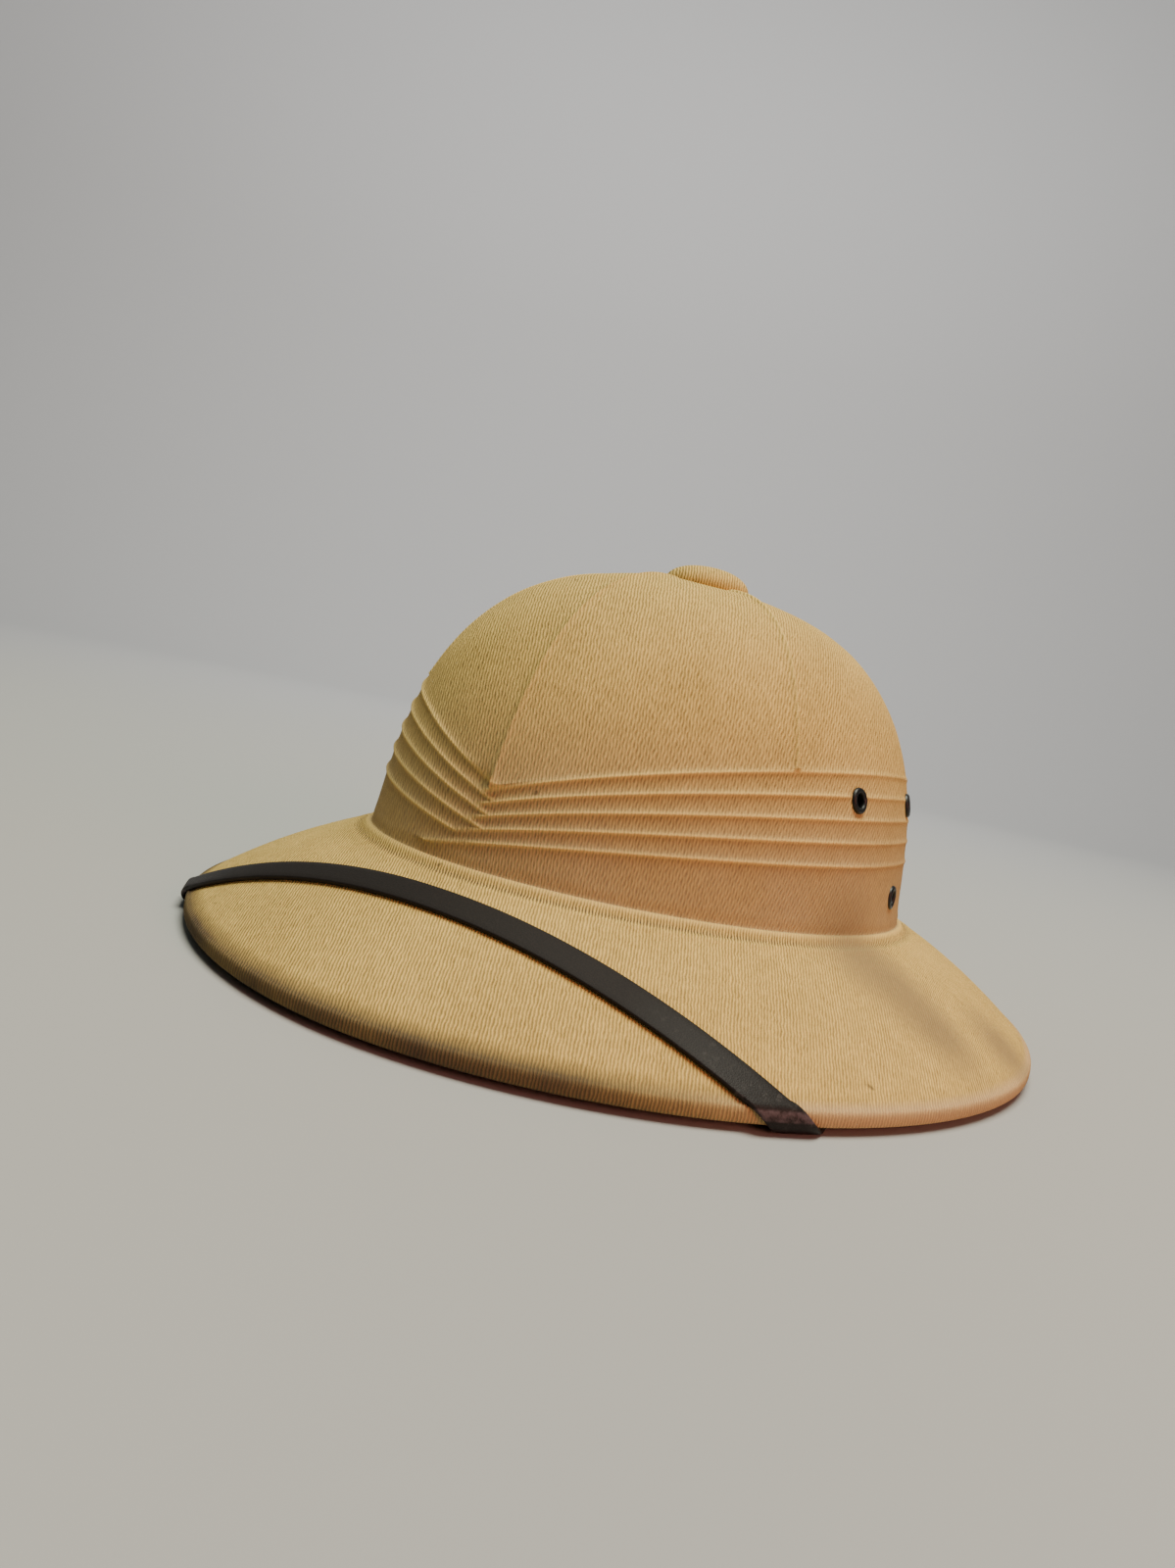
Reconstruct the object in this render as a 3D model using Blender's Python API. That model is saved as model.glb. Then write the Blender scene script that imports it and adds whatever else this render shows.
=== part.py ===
"""Pith helmet: one pressed fibre shell covered in tan twill, with its covered
top button, six vent eyelets and a leather chin strap worn over the front brim.

Metres, +Z up. The hat faces -Y and the wearer's left is +X. It stands at Z = 0
on the strap where it turns under the rim. A turn is an angle about +Z in
degrees, 0 at the front and 90 at the wearer's left.
"""
import math

import bmesh
import bpy
import numpy as np
from mathutils import Matrix, Vector

MM = 0.001
UP = np.array([0.0, 0.0, 1.0])

# Clearance between pieces that touch on the real hat, and inside the crown,
# where flat faces cut across the curve
GAP = 0.3 * MM
INSIDE_GAP = 0.6 * MM

# Crown, as an oval that closes in towards the top; heights are above the rim's underside
WALL = 2.4 * MM
CROWN_HALF_WIDTH = 88.4 * MM
CROWN_FRONT = 114.5 * MM
CROWN_BACK = 113.0 * MM
CROWN_CENTRE_Y = 2.0 * MM
CROWN_ROUNDNESS = 2.0
CROWN_HEIGHT = 132.8 * MM
CROWN_STRAIGHT_HEIGHT = 41.4 * MM
CROWN_RISE_POWER = 2.24
CROWN_CLOSE_POWER = 2.94
CROWN_TAPER = 0.04
JUNCTION_HEIGHT = 31.4 * MM
JUNCTION_PITCH = 2.9 * MM
JUNCTION_FILLET = 4.0 * MM

# Brim, from the crown's foot out to a rounded turned edge
BRIM_HALF_WIDTH = 141.5 * MM
BRIM_FRONT = 165.0 * MM
BRIM_BACK = 165.0 * MM
BRIM_WIDEST_Y = -9.0 * MM
BRIM_ROUNDNESS = 1.93
BRIM_BULGE = 3.0 * MM
RIM_RADIUS = 2.5 * MM
RIM_FLAT = 2.0 * MM
BRIM_SLOPE_TURN = 61.0

# Pressed relief: five pleat ribs that meet in a V at the front, panel ridges, and a bead
RIB_COUNT = 5
RIB_HEIGHT = 0.8 * MM
RIB_FRONT_LOW = 42.3 * MM
RIB_FRONT_HIGH = 57.2 * MM
RIB_SIDE_LOW = 54.4 * MM
RIB_SIDE_HIGH = 82.6 * MM
RIB_LEAN_POWER_LOW = 2.3
RIB_LEAN_POWER_HIGH = 2.05
RIB_FOOT = 0.26
PANEL_TURN = 56.0
PANEL_RIDGE = 0.6 * MM
BEAD_HEIGHT = 0.7 * MM
BEAD_ABOVE_JUNCTION = 6.0 * MM
BEAD_HALF_WIDTH = 1.2 * MM

# Top button, riveted through the crown
BUTTON_RADIUS = 15.5 * MM
BUTTON_DOME = 8.0 * MM
BUTTON_EDGE = 1.0 * MM
STEM_RADIUS = 2.5 * MM
STEM_HEAD_RADIUS = 6.0 * MM
STEM_HEAD_THICKNESS = 1.2 * MM

# Vent eyelets
EYELET_BORE_RADIUS = 2.2 * MM
EYELET_BARREL_RADIUS = 2.8 * MM
EYELET_FLANGE_RADIUS = 4.1 * MM
EYELET_ROLL = 1.0 * MM
EYELET_BACK_RADIUS = 3.9 * MM
EYELET_BACK_THICKNESS = 0.6 * MM
EYELET_UPPER_HEIGHT = 73.7 * MM
EYELET_LOWER_HEIGHT = 43.6 * MM
EYELET_FRONT_TURN = 71.0
EYELET_BACK_TURN = 99.0
EYELET_LOWER_TURN = 90.0

# Chin strap
STRAP_WIDTH = 8.8 * MM
STRAP_THICKNESS = 1.5 * MM
STRAP_MIDDLE_INSET = 35.8 * MM
STRAP_EDGE_TURN = 43.9
STRAP_BOW_POWER = 1.75
STRAP_RIM_LEAN = 50.0
STRAP_WALL_TURN = 76.0
STRAP_WALL_DROP = 15.0 * MM
STRAP_TUCK = 6.0 * MM
STRAP_END_MARGIN = 8.0 * MM

# The rim stands clear of the ground by the strap that turns under it
RIM_LIFT = STRAP_THICKNESS + GAP

# How finely each form is divided
UPPER_ROWS = 9
FRONT_PANEL_COUNT = 9
SIDE_PANEL_COUNT = 11
BACK_PANEL_COUNT = 9
BRIM_SHARES = (0.3, 0.55, 0.8)
RIM_ANGLES = (61.0, 25.0, -10.0, -50.0, -90.0)
TURNED_SIDES = 14
BUTTON_SIDES = 24
DOME_ROWS = 5
STRAP_TOP_STATIONS = 12
STRAP_FREE_STATIONS = 9
STRAP_WALL_STATIONS = 5

# Colours as linear red, green and blue
COLOURS = {
    "twill": (0.42, 0.27, 0.12, 1.0),
    "black_leather": (0.012, 0.011, 0.011, 1.0),
    "black_enamel": (0.008, 0.009, 0.009, 1.0),
}


def rows_to_array(x, y, z):
    return np.stack(np.broadcast_arrays(x, y, z), axis=-1).astype(float)


def signed_power(value, power):
    return np.sign(value) * np.abs(value) ** power


def oval(turn, half_width, front, back, centre_y, roundness):
    """Plan of a superellipse whose front and back may differ in length."""
    angle = np.radians(turn)
    sine = signed_power(np.sin(angle), 2.0 / roundness)
    cosine = signed_power(np.cos(angle), 2.0 / roundness)
    length = np.where(cosine > 0.0, front, back)
    return half_width * sine, centre_y - length * cosine


def crown_plan(turn):
    return oval(turn, CROWN_HALF_WIDTH, CROWN_FRONT, CROWN_BACK, CROWN_CENTRE_Y, CROWN_ROUNDNESS)


def edge_plan(turn):
    front = BRIM_FRONT + BRIM_WIDEST_Y
    back = BRIM_BACK - BRIM_WIDEST_Y
    return oval(turn, BRIM_HALF_WIDTH, front, back, BRIM_WIDEST_Y, BRIM_ROUNDNESS)


def junction_height(turn):
    return RIM_LIFT + JUNCTION_HEIGHT + JUNCTION_PITCH * np.cos(np.radians(turn))


def closing_share(height, foot):
    """Share of the crown's foot oval that is left at a height."""
    top = RIM_LIFT + CROWN_HEIGHT
    straight = RIM_LIFT + CROWN_STRAIGHT_HEIGHT
    rise = np.clip((height - straight) / (top - straight), 0.0, 1.0)
    closed = (1.0 - rise ** CROWN_RISE_POWER) ** (1.0 / CROWN_CLOSE_POWER)
    return closed * (1.0 - CROWN_TAPER * (height - foot) / (top - foot))


def crown_point(turn, height):
    x, y = crown_plan(turn)
    share = closing_share(height, junction_height(turn))
    return rows_to_array(x * share, CROWN_CENTRE_Y + (y - CROWN_CENTRE_Y) * share, height)


def dome_height(angle):
    """Height on the crown at an angle of its closing curve, 90 at the very top."""
    top = RIM_LIFT + CROWN_HEIGHT
    straight = RIM_LIFT + CROWN_STRAIGHT_HEIGHT
    return straight + (top - straight) * np.sin(np.radians(angle)) ** (2.0 / CROWN_RISE_POWER)


def dome_angle(height):
    top = RIM_LIFT + CROWN_HEIGHT
    straight = RIM_LIFT + CROWN_STRAIGHT_HEIGHT
    rise = np.clip((height - straight) / (top - straight), 0.0, 1.0)
    return np.degrees(np.arcsin(rise ** (CROWN_RISE_POWER / 2.0)))


def edge_outward(turn):
    """Unit outward normal of the brim's plan."""
    step = 0.5
    x0, y0 = edge_plan(turn - step)
    x1, y1 = edge_plan(turn + step)
    along = np.stack([x1 - x0, y1 - y0], axis=-1)
    along = along / np.linalg.norm(along, axis=-1)[..., None]
    return rows_to_array(along[..., 1], -along[..., 0], 0.0)


def rim_point(turn, angle, radius):
    """Point round the rim's rounded nose; angle 90 is its top and -90 its underside."""
    x, y = edge_plan(turn)
    centre = rows_to_array(x, y, RIM_LIFT + RIM_RADIUS) - edge_outward(turn) * RIM_RADIUS
    angle = np.radians(angle)
    return centre + edge_outward(turn) * (radius * np.cos(angle)) + UP * (radius * np.sin(angle))


def brim_point(turn, share):
    """Top of the brim, from the crown's foot at share 0 to the rim at share 1."""
    x, y = crown_plan(turn)
    foot = rows_to_array(x, y, junction_height(turn))
    rim = rim_point(turn, BRIM_SLOPE_TURN, RIM_RADIUS)
    share = np.asarray(share, float)[..., None]
    return foot + (rim - foot) * share + UP * (BRIM_BULGE * 4.0 * share * (1.0 - share))


def fillet_point(turn, blend):
    """Hollow curve between crown and brim, from the crown at 0 to the brim at 1."""
    x, y = crown_plan(turn)
    corner = rows_to_array(x, y, junction_height(turn))
    upper = crown_point(turn, junction_height(turn) + JUNCTION_FILLET)
    brim_length = np.linalg.norm(brim_point(turn, np.ones_like(turn)) - corner, axis=-1)
    lower = brim_point(turn, JUNCTION_FILLET / brim_length)
    return (1 - blend) ** 2 * upper + 2 * blend * (1 - blend) * corner + blend ** 2 * lower


def rib_height_at(turn, rib):
    """Height of a rib's crest; rib 0 is the lowest and fractions lie between ribs."""
    share = rib / (RIB_COUNT - 1)
    folded = np.abs((np.asarray(turn) + 180.0) % 360.0 - 180.0)
    from_centre = np.minimum(folded, 180.0 - folded)
    power = RIB_LEAN_POWER_LOW + (RIB_LEAN_POWER_HIGH - RIB_LEAN_POWER_LOW) * share
    lean = 1.0 - (1.0 - from_centre / 90.0) ** power
    front = RIB_FRONT_LOW + (RIB_FRONT_HIGH - RIB_FRONT_LOW) * share
    side = RIB_SIDE_LOW + (RIB_SIDE_HIGH - RIB_SIDE_LOW) * share
    return RIM_LIFT + front + (side - front) * lean


def column_turns():
    """Turns of the shell's columns, with one on each of the six panel ridges."""
    back_turn = 180.0 - PANEL_TURN
    front = np.linspace(0.0, PANEL_TURN, FRONT_PANEL_COUNT + 1)
    side = np.linspace(PANEL_TURN, back_turn, SIDE_PANEL_COUNT + 1)
    back = np.linspace(back_turn, 180.0, BACK_PANEL_COUNT + 1)
    half = np.concatenate([front, side[1:], back[1:]])
    return np.concatenate([half, 360.0 - half[-2:0:-1]])


def panel_ridge(turns):
    ridges = np.array([0.0, PANEL_TURN, 180.0 - PANEL_TURN, 180.0])
    folded = np.abs((turns + 180.0) % 360.0 - 180.0)
    nearest = np.abs(folded[:, None] - ridges).min(axis=1)
    return np.where(nearest < 0.01, PANEL_RIDGE, 0.0)


def outer_rows(turns):
    """Rows of the shell's outer face, top to rim, each as (points, relief, kept inside)."""
    ridge = panel_ridge(turns)
    flat = np.zeros_like(turns)
    rows = []
    hole = 1.0 - (STEM_RADIUS + GAP) / CROWN_HALF_WIDTH
    hole_angle = math.degrees(math.acos((1.0 - hole) ** (CROWN_CLOSE_POWER / 2.0)))
    band_top = rib_height_at(turns, RIB_COUNT - 0.5)
    low_angle = dome_angle(band_top)
    for row in range(UPPER_ROWS):
        share = row / UPPER_ROWS
        angle = hole_angle + (low_angle - hole_angle) * share
        fade = math.sin(math.pi * share) ** 0.5
        rows.append((crown_point(turns, dome_height(angle)), ridge * fade, row % 2 == 0))
    for rib in reversed(range(RIB_COUNT)):
        for offset, relief in ((RIB_FOOT, 0.0), (0.0, RIB_HEIGHT), (-RIB_FOOT, 0.0)):
            points = crown_point(turns, rib_height_at(turns, rib + offset))
            rows.append((points, flat + relief, offset == 0.0 and rib % 2 == 0))
    bead = junction_height(turns) + BEAD_ABOVE_JUNCTION
    for offset, relief in ((BEAD_HALF_WIDTH, 0.0), (0.0, BEAD_HEIGHT), (-BEAD_HALF_WIDTH, 0.0)):
        rows.append((crown_point(turns, bead + offset), flat + relief, False))
    for blend in (0.0, 0.5, 1.0):
        rows.append((fillet_point(turns, blend), flat, True))
    for share in BRIM_SHARES:
        rows.append((brim_point(turns, np.full_like(turns, share)), flat, True))
    return rows


def grid_normals(rows):
    """Outward normals of a closed grid of rows."""
    grid = np.stack(rows)
    down = np.gradient(grid, axis=0)
    along = np.roll(grid, -1, axis=1) - np.roll(grid, 1, axis=1)
    normals = np.cross(down, along)
    return normals / np.linalg.norm(normals, axis=-1)[..., None]


def shell_rings(turns):
    """All rings of the shell's skin, down the outside, round the rim and up the inside."""
    rows = outer_rows(turns)
    normals = grid_normals([points for points, _, _ in rows])
    normals[0] = UP
    outside = []
    inside = []
    for (points, relief, kept), normal in zip(rows, normals):
        outside.append(points + normal * np.asarray(relief)[:, None])
        if kept:
            inside.append(points - normal * WALL)
    for angle in RIM_ANGLES:
        outside.append(rim_point(turns, angle, RIM_RADIUS))
    inward = -edge_outward(turns)
    under = rim_point(turns, -90.0, RIM_RADIUS) + inward * RIM_FLAT
    outside.append(under)
    outside.append(under + (inward + UP) * (RIM_RADIUS * 0.5))
    return outside + inside[::-1]


def mesh_object(name, vertices, faces, material):
    mesh = bpy.data.meshes.new(name)
    mesh.from_pydata([tuple(v) for v in vertices], [], faces)
    builder = bmesh.new()
    builder.from_mesh(mesh)
    bmesh.ops.recalc_face_normals(builder, faces=builder.faces)
    builder.to_mesh(mesh)
    builder.free()
    mesh.shade_smooth()
    mesh.set_sharp_from_angle(angle=math.radians(40.0))
    item = bpy.data.objects.new(name, mesh)
    bpy.context.collection.objects.link(item)
    mesh.materials.append(material)
    return item


def ring_faces(ring_count, size, closed_rings):
    """Quads between neighbouring rings of equal size."""
    faces = []
    for ring in range(ring_count if closed_rings else ring_count - 1):
        following = (ring + 1) % ring_count
        for side in range(size):
            after = (side + 1) % size
            faces.append((ring * size + side, ring * size + after,
                          following * size + after, following * size + side))
    return faces


def turned_object(name, profile, sides, material):
    """Body turned about +Z from (radius, height) pairs; open ends on the axis become points."""
    on_axis = profile[0][0] == 0.0
    body = profile[1:-1] if on_axis else profile
    vertices = []
    for radius, height in body:
        for side in range(sides):
            angle = 2.0 * math.pi * side / sides
            vertices.append((radius * math.cos(angle), radius * math.sin(angle), height))
    faces = ring_faces(len(body), sides, not on_axis)
    if on_axis:
        for (radius, height), ring in ((profile[0], 0), (profile[-1], len(body) - 1)):
            pole = len(vertices)
            vertices.append((radius, 0.0, height))
            for side in range(sides):
                faces.append((pole, ring * sides + side, ring * sides + (side + 1) % sides))
    return mesh_object(name, vertices, faces, material)


def cut(item, cutter):
    cutter.hide_render = True
    cutter.display_type = "WIRE"
    modifier = item.modifiers.new(cutter.name, "BOOLEAN")
    modifier.operation = "DIFFERENCE"
    modifier.object = cutter


def place_on_axis(item, point, normal):
    """Stand an object with its +Z along a surface normal."""
    turned = Vector(normal).to_track_quat("Z", "Y").to_matrix().to_4x4()
    item.matrix_world = Matrix.Translation(Vector(point)) @ turned


def crown_normal(turn, height):
    step_turn = 0.5
    step_height = 0.5 * MM
    along = crown_point(turn + step_turn, height) - crown_point(turn - step_turn, height)
    rise = crown_point(turn, height + step_height) - crown_point(turn, height - step_height)
    normal = np.cross(along, rise)
    return normal / np.linalg.norm(normal)


def eyelet_places():
    """Table of eyelets: name, turn, height above the rim, relief under it, what it clamps."""
    table = []
    for side, sign in (("left", 1.0), ("right", -1.0)):
        table.append((f"vent_eyelet_{side}_front", sign * EYELET_FRONT_TURN,
                      EYELET_UPPER_HEIGHT, RIB_HEIGHT, WALL))
        table.append((f"vent_eyelet_{side}_back", sign * EYELET_BACK_TURN,
                      EYELET_UPPER_HEIGHT, RIB_HEIGHT, WALL))
        table.append((f"strap_eyelet_{side}", sign * EYELET_LOWER_TURN,
                      EYELET_LOWER_HEIGHT, 0.0, WALL + INSIDE_GAP + STRAP_THICKNESS))
    return table


def build_shell(material):
    turns = column_turns()
    rings = shell_rings(turns)
    vertices = np.concatenate(rings)
    shell = mesh_object("shell", vertices, ring_faces(len(rings), len(turns), True), material)
    for name, turn, height, _, depth in eyelet_places():
        reach = depth * 3.0
        profile = [(0.0, -reach), (EYELET_BARREL_RADIUS + GAP, -reach),
                   (EYELET_BARREL_RADIUS + GAP, reach), (0.0, reach)]
        cutter = turned_object(f"cut_{name}", profile, TURNED_SIDES, material)
        place_on_axis(cutter, crown_point(turn, RIM_LIFT + height),
                      crown_normal(turn, RIM_LIFT + height))
        cut(shell, cutter)
    return shell


def build_eyelet(name, turn, height, relief, depth, material):
    seat = relief + GAP
    back = -depth - INSIDE_GAP
    middle_radius = (EYELET_BORE_RADIUS + EYELET_FLANGE_RADIUS) / 2.0
    profile = [
        (EYELET_BARREL_RADIUS, seat),
        (EYELET_FLANGE_RADIUS, seat),
        (EYELET_FLANGE_RADIUS - EYELET_ROLL * 0.2, seat + EYELET_ROLL * 0.7),
        (middle_radius, seat + EYELET_ROLL),
        (EYELET_BORE_RADIUS, seat + EYELET_ROLL * 0.4),
        (EYELET_BORE_RADIUS, back - EYELET_BACK_THICKNESS),
        (EYELET_BACK_RADIUS, back - EYELET_BACK_THICKNESS),
        (EYELET_BACK_RADIUS, back),
        (EYELET_BARREL_RADIUS, back),
    ]
    eyelet = turned_object(name, profile, TURNED_SIDES, material)
    place_on_axis(eyelet, crown_point(turn, RIM_LIFT + height),
                  crown_normal(turn, RIM_LIFT + height))
    return eyelet


def build_button(material):
    """Domed button whose stem passes through the crown to a flat head inside."""
    base = RIM_LIFT + CROWN_HEIGHT + GAP
    inside = RIM_LIFT + CROWN_HEIGHT - WALL - GAP
    profile = [(0.0, base + BUTTON_EDGE + BUTTON_DOME)]
    for row in range(1, DOME_ROWS + 1):
        angle = math.radians(90.0 * (1.0 - row / DOME_ROWS))
        radius = BUTTON_RADIUS * math.cos(angle)
        profile.append((radius, base + BUTTON_EDGE + BUTTON_DOME * math.sin(angle)))
    profile += [
        (BUTTON_RADIUS - BUTTON_EDGE * 0.5, base),
        (STEM_RADIUS, base),
        (STEM_RADIUS, inside),
        (STEM_HEAD_RADIUS, inside),
        (STEM_HEAD_RADIUS, inside - STEM_HEAD_THICKNESS),
        (0.0, inside - STEM_HEAD_THICKNESS),
    ]
    button = turned_object("top_button", profile, BUTTON_SIDES, material)
    button.location = (0.0, CROWN_CENTRE_Y, 0.0)
    return button


def unit(vector):
    return vector / np.linalg.norm(vector)


def brim_place(x, y):
    """Turn and share on the brim above a place in plan, by Newton steps."""
    guess = np.array([math.degrees(math.atan2(x, -y)), 0.5])
    target = np.array([x, y])
    for _ in range(12):
        here = brim_point(guess[0], guess[1])[:2]
        step_turn = (brim_point(guess[0] + 0.1, guess[1])[:2] - here) / 0.1
        step_share = (brim_point(guess[0], guess[1] + 0.001)[:2] - here) / 0.001
        guess = guess + np.linalg.solve(np.stack([step_turn, step_share], axis=1), target - here)
    return guess


def brim_surface(x, y):
    """Point and upward normal of the brim's top above a place in plan."""
    turn, share = brim_place(x, y)
    along = brim_point(turn + 0.5, share) - brim_point(turn - 0.5, share)
    across = brim_point(turn, share + 0.01) - brim_point(turn, share - 0.01)
    normal = unit(np.cross(across, along))
    return brim_point(turn, share), normal * np.sign(normal[2])


def strap_middle(x, end):
    """Plan of the strap's middle line on the brim, bowed back towards its ends."""
    front = -BRIM_FRONT + STRAP_MIDDLE_INSET
    return np.array([x, front + (end[1] - front) * (abs(x) / end[0]) ** STRAP_BOW_POWER])


def strap_on_brim(lift):
    """Stations from the hat's middle to the rim, as pairs of (point, normal)."""
    end = brim_point(STRAP_EDGE_TURN, 1.0)
    stations = []
    for station in range(STRAP_TOP_STATIONS):
        x = end[0] * station / STRAP_TOP_STATIONS
        here = strap_middle(x, end)
        ahead = strap_middle(x + MM, end)
        point, normal = brim_surface(*here)
        along = unit(brim_surface(*ahead)[0] - point)
        across = unit(np.cross(normal, along))
        blend = max(0.0, (station / STRAP_TOP_STATIONS - 0.6) / 0.4)
        across = across + along * (math.tan(math.radians(STRAP_RIM_LEAN)) * blend ** 2)
        pair = []
        for side in (-0.5, 0.5):
            place = point + across * (side * STRAP_WIDTH)
            surface, face = brim_surface(place[0], place[1])
            pair.append((surface + face * lift, face))
        stations.append(pair)
    return stations


def strap_round_rim(lift):
    """Stations round the rim's nose and along its flat underside."""
    radius = RIM_RADIUS + lift
    lean = math.radians(STRAP_RIM_LEAN)
    half = STRAP_WIDTH / 2.0 / math.cos(lean)
    step = np.linalg.norm(rim_point(STRAP_EDGE_TURN + 1.0, 0.0, radius)
                          - rim_point(STRAP_EDGE_TURN, 0.0, radius))
    places = [(angle, math.radians(BRIM_SLOPE_TURN - angle) * radius, 0.0) for angle in RIM_ANGLES]
    places.append((-90.0, places[-1][1] + RIM_FLAT, RIM_FLAT))
    stations = []
    for angle, travel, inset in places:
        pair = []
        for side in (-1.0, 1.0):
            turn = STRAP_EDGE_TURN + (travel * math.tan(lean) + side * half) / step
            outward = edge_outward(turn)
            face = outward * math.cos(math.radians(angle)) + UP * math.sin(math.radians(angle))
            pair.append((rim_point(turn, angle, radius) - outward * inset, face))
        stations.append(pair)
    return stations


def strap_wall_point(turn, height):
    face = -crown_normal(turn, height)
    return crown_point(turn, height) + face * (WALL + INSIDE_GAP + STRAP_THICKNESS / 2.0), face


def strap_along_wall():
    """Stations inside the crown, rising to the eyelet that holds the strap's end."""
    anchor_height = RIM_LIFT + EYELET_LOWER_HEIGHT
    per_turn = np.linalg.norm(crown_point(EYELET_LOWER_TURN + 1.0, anchor_height)
                              - crown_point(EYELET_LOWER_TURN, anchor_height))
    end_turn = EYELET_LOWER_TURN + STRAP_END_MARGIN / per_turn
    slope = STRAP_WALL_DROP / (EYELET_LOWER_TURN - STRAP_WALL_TURN)
    stations = []
    for station in range(STRAP_WALL_STATIONS):
        share = station / (STRAP_WALL_STATIONS - 1)
        turn = STRAP_WALL_TURN + (end_turn - STRAP_WALL_TURN) * share
        height = anchor_height + slope * (turn - EYELET_LOWER_TURN)
        point, face = strap_wall_point(turn, height)
        ahead, _ = strap_wall_point(turn + 0.5, height + slope * 0.5)
        across = unit(np.cross(face, unit(ahead - point)))
        pair = [(point + across * (side * STRAP_WIDTH), face) for side in (-0.5, 0.5)]
        stations.append(pair)
    return stations


def strap_free_run(start, finish):
    """Stations that hang between the rim and the crown's wall, turning over by a quarter."""
    first = (start[0][0] + start[1][0]) / 2.0
    last = (finish[0][0][0] + finish[0][1][0]) / 2.0
    leaving = unit(np.array([-0.12, 1.0, 0.0]))
    arriving = unit((finish[1][0][0] + finish[1][1][0]) / 2.0 - last)
    reach = np.linalg.norm(last - first) * 0.32
    tucked = last - arriving * reach + finish[0][0][1] * STRAP_TUCK
    controls = [first, first + leaving * reach, tucked, last]
    across_start = start[1][0] - start[0][0]
    across_finish = finish[0][1][0] - finish[0][0][0]
    stations = []
    for station in range(1, STRAP_FREE_STATIONS + 1):
        t = station / (STRAP_FREE_STATIONS + 1)
        weights = [(1 - t) ** 3, 3 * t * (1 - t) ** 2, 3 * t * t * (1 - t), t ** 3]
        point = sum(weight * control for weight, control in zip(weights, controls))
        slope = (-3 * (1 - t) ** 2 * controls[0] + 3 * (1 - t) * (1 - 3 * t) * controls[1]
                 + 3 * t * (2 - 3 * t) * controls[2] + 3 * t * t * controls[3])
        along = unit(slope)
        ease = t * t * (3.0 - 2.0 * t)
        raw = across_start * (1.0 - ease) + across_finish * ease
        square = unit(raw - along * np.dot(raw, along)) * STRAP_WIDTH
        straighten = min(1.0, t / 0.3)
        across = across_start * (1.0 - straighten) + square * straighten
        face = unit(np.cross(along, across))
        stations.append([(point + across * side, face) for side in (-0.5, 0.5)])
    return stations


def build_strap(material):
    """One leather band, symmetric about the hat's middle."""
    lift = GAP + STRAP_THICKNESS / 2.0
    rim = strap_round_rim(lift)
    wall = strap_along_wall()
    half = strap_on_brim(lift) + rim + strap_free_run(rim[-1], wall) + wall
    mirror = np.array([-1.0, 1.0, 1.0])
    other = [[(point * mirror, face * mirror) for point, face in pair] for pair in half[:0:-1]]
    vertices = []
    for pair in other + half:
        (first, first_face), (second, second_face) = pair
        for point, face, side in ((first, first_face, 0.5), (second, second_face, 0.5),
                                  (second, second_face, -0.5), (first, first_face, -0.5)):
            vertices.append(point + face * (side * STRAP_THICKNESS))
    count = len(other) + len(half)
    faces = ring_faces(count, 4, False)
    faces.append((0, 1, 2, 3))
    faces.append(tuple(range(4 * count - 4, 4 * count)))
    strap = mesh_object("chin_strap", vertices, faces, material)
    for name, turn, height, _, depth in eyelet_places():
        if name.startswith("strap"):
            profile = [(0.0, -depth * 2.0), (EYELET_BARREL_RADIUS + GAP, -depth * 2.0),
                       (EYELET_BARREL_RADIUS + GAP, depth), (0.0, depth)]
            cutter = turned_object(f"cut_end_{name}", profile, TURNED_SIDES, material)
            place_on_axis(cutter, crown_point(turn, RIM_LIFT + height),
                          crown_normal(turn, RIM_LIFT + height))
            cut(strap, cutter)
    return strap


def make_material(name, roughness, metallic=0.0):
    material = bpy.data.materials.new(name)
    material.use_nodes = True
    shader = material.node_tree.nodes["Principled BSDF"]
    shader.inputs["Base Color"].default_value = COLOURS[name]
    shader.inputs["Roughness"].default_value = roughness
    shader.inputs["Metallic"].default_value = metallic
    return material


def main():
    for item in list(bpy.data.objects):
        bpy.data.objects.remove(item, do_unlink=True)
    twill = make_material("twill", 0.9)
    leather = make_material("black_leather", 0.55)
    enamel = make_material("black_enamel", 0.35, 0.6)
    build_shell(twill)
    build_button(twill)
    build_strap(leather)
    for name, turn, height, relief, depth in eyelet_places():
        build_eyelet(name, turn, height, relief, depth, enamel)


main()
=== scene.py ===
"""The looks of a pith helmet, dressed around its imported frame.

Metres, +Z up. The hat faces -Y and the wearer's left is +X. A turn is an angle
about +Z in degrees, 0 at the front and 90 at the wearer's left.
"""
import math

import bmesh
import bpy
import numpy as np
from mathutils import Matrix, Vector, noise


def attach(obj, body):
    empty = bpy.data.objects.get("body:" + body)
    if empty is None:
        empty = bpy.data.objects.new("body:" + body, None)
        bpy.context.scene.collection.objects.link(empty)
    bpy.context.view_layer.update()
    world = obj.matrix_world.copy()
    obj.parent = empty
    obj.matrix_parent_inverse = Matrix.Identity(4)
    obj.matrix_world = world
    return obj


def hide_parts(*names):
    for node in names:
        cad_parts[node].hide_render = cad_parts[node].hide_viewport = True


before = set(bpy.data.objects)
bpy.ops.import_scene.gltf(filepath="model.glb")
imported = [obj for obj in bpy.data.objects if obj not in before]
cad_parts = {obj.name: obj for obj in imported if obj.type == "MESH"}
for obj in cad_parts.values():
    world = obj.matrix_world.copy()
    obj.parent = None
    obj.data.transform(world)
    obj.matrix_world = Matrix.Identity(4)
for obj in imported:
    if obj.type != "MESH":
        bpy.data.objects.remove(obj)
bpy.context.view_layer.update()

MM = 0.001
UP = np.array([0.0, 0.0, 1.0])

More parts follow.
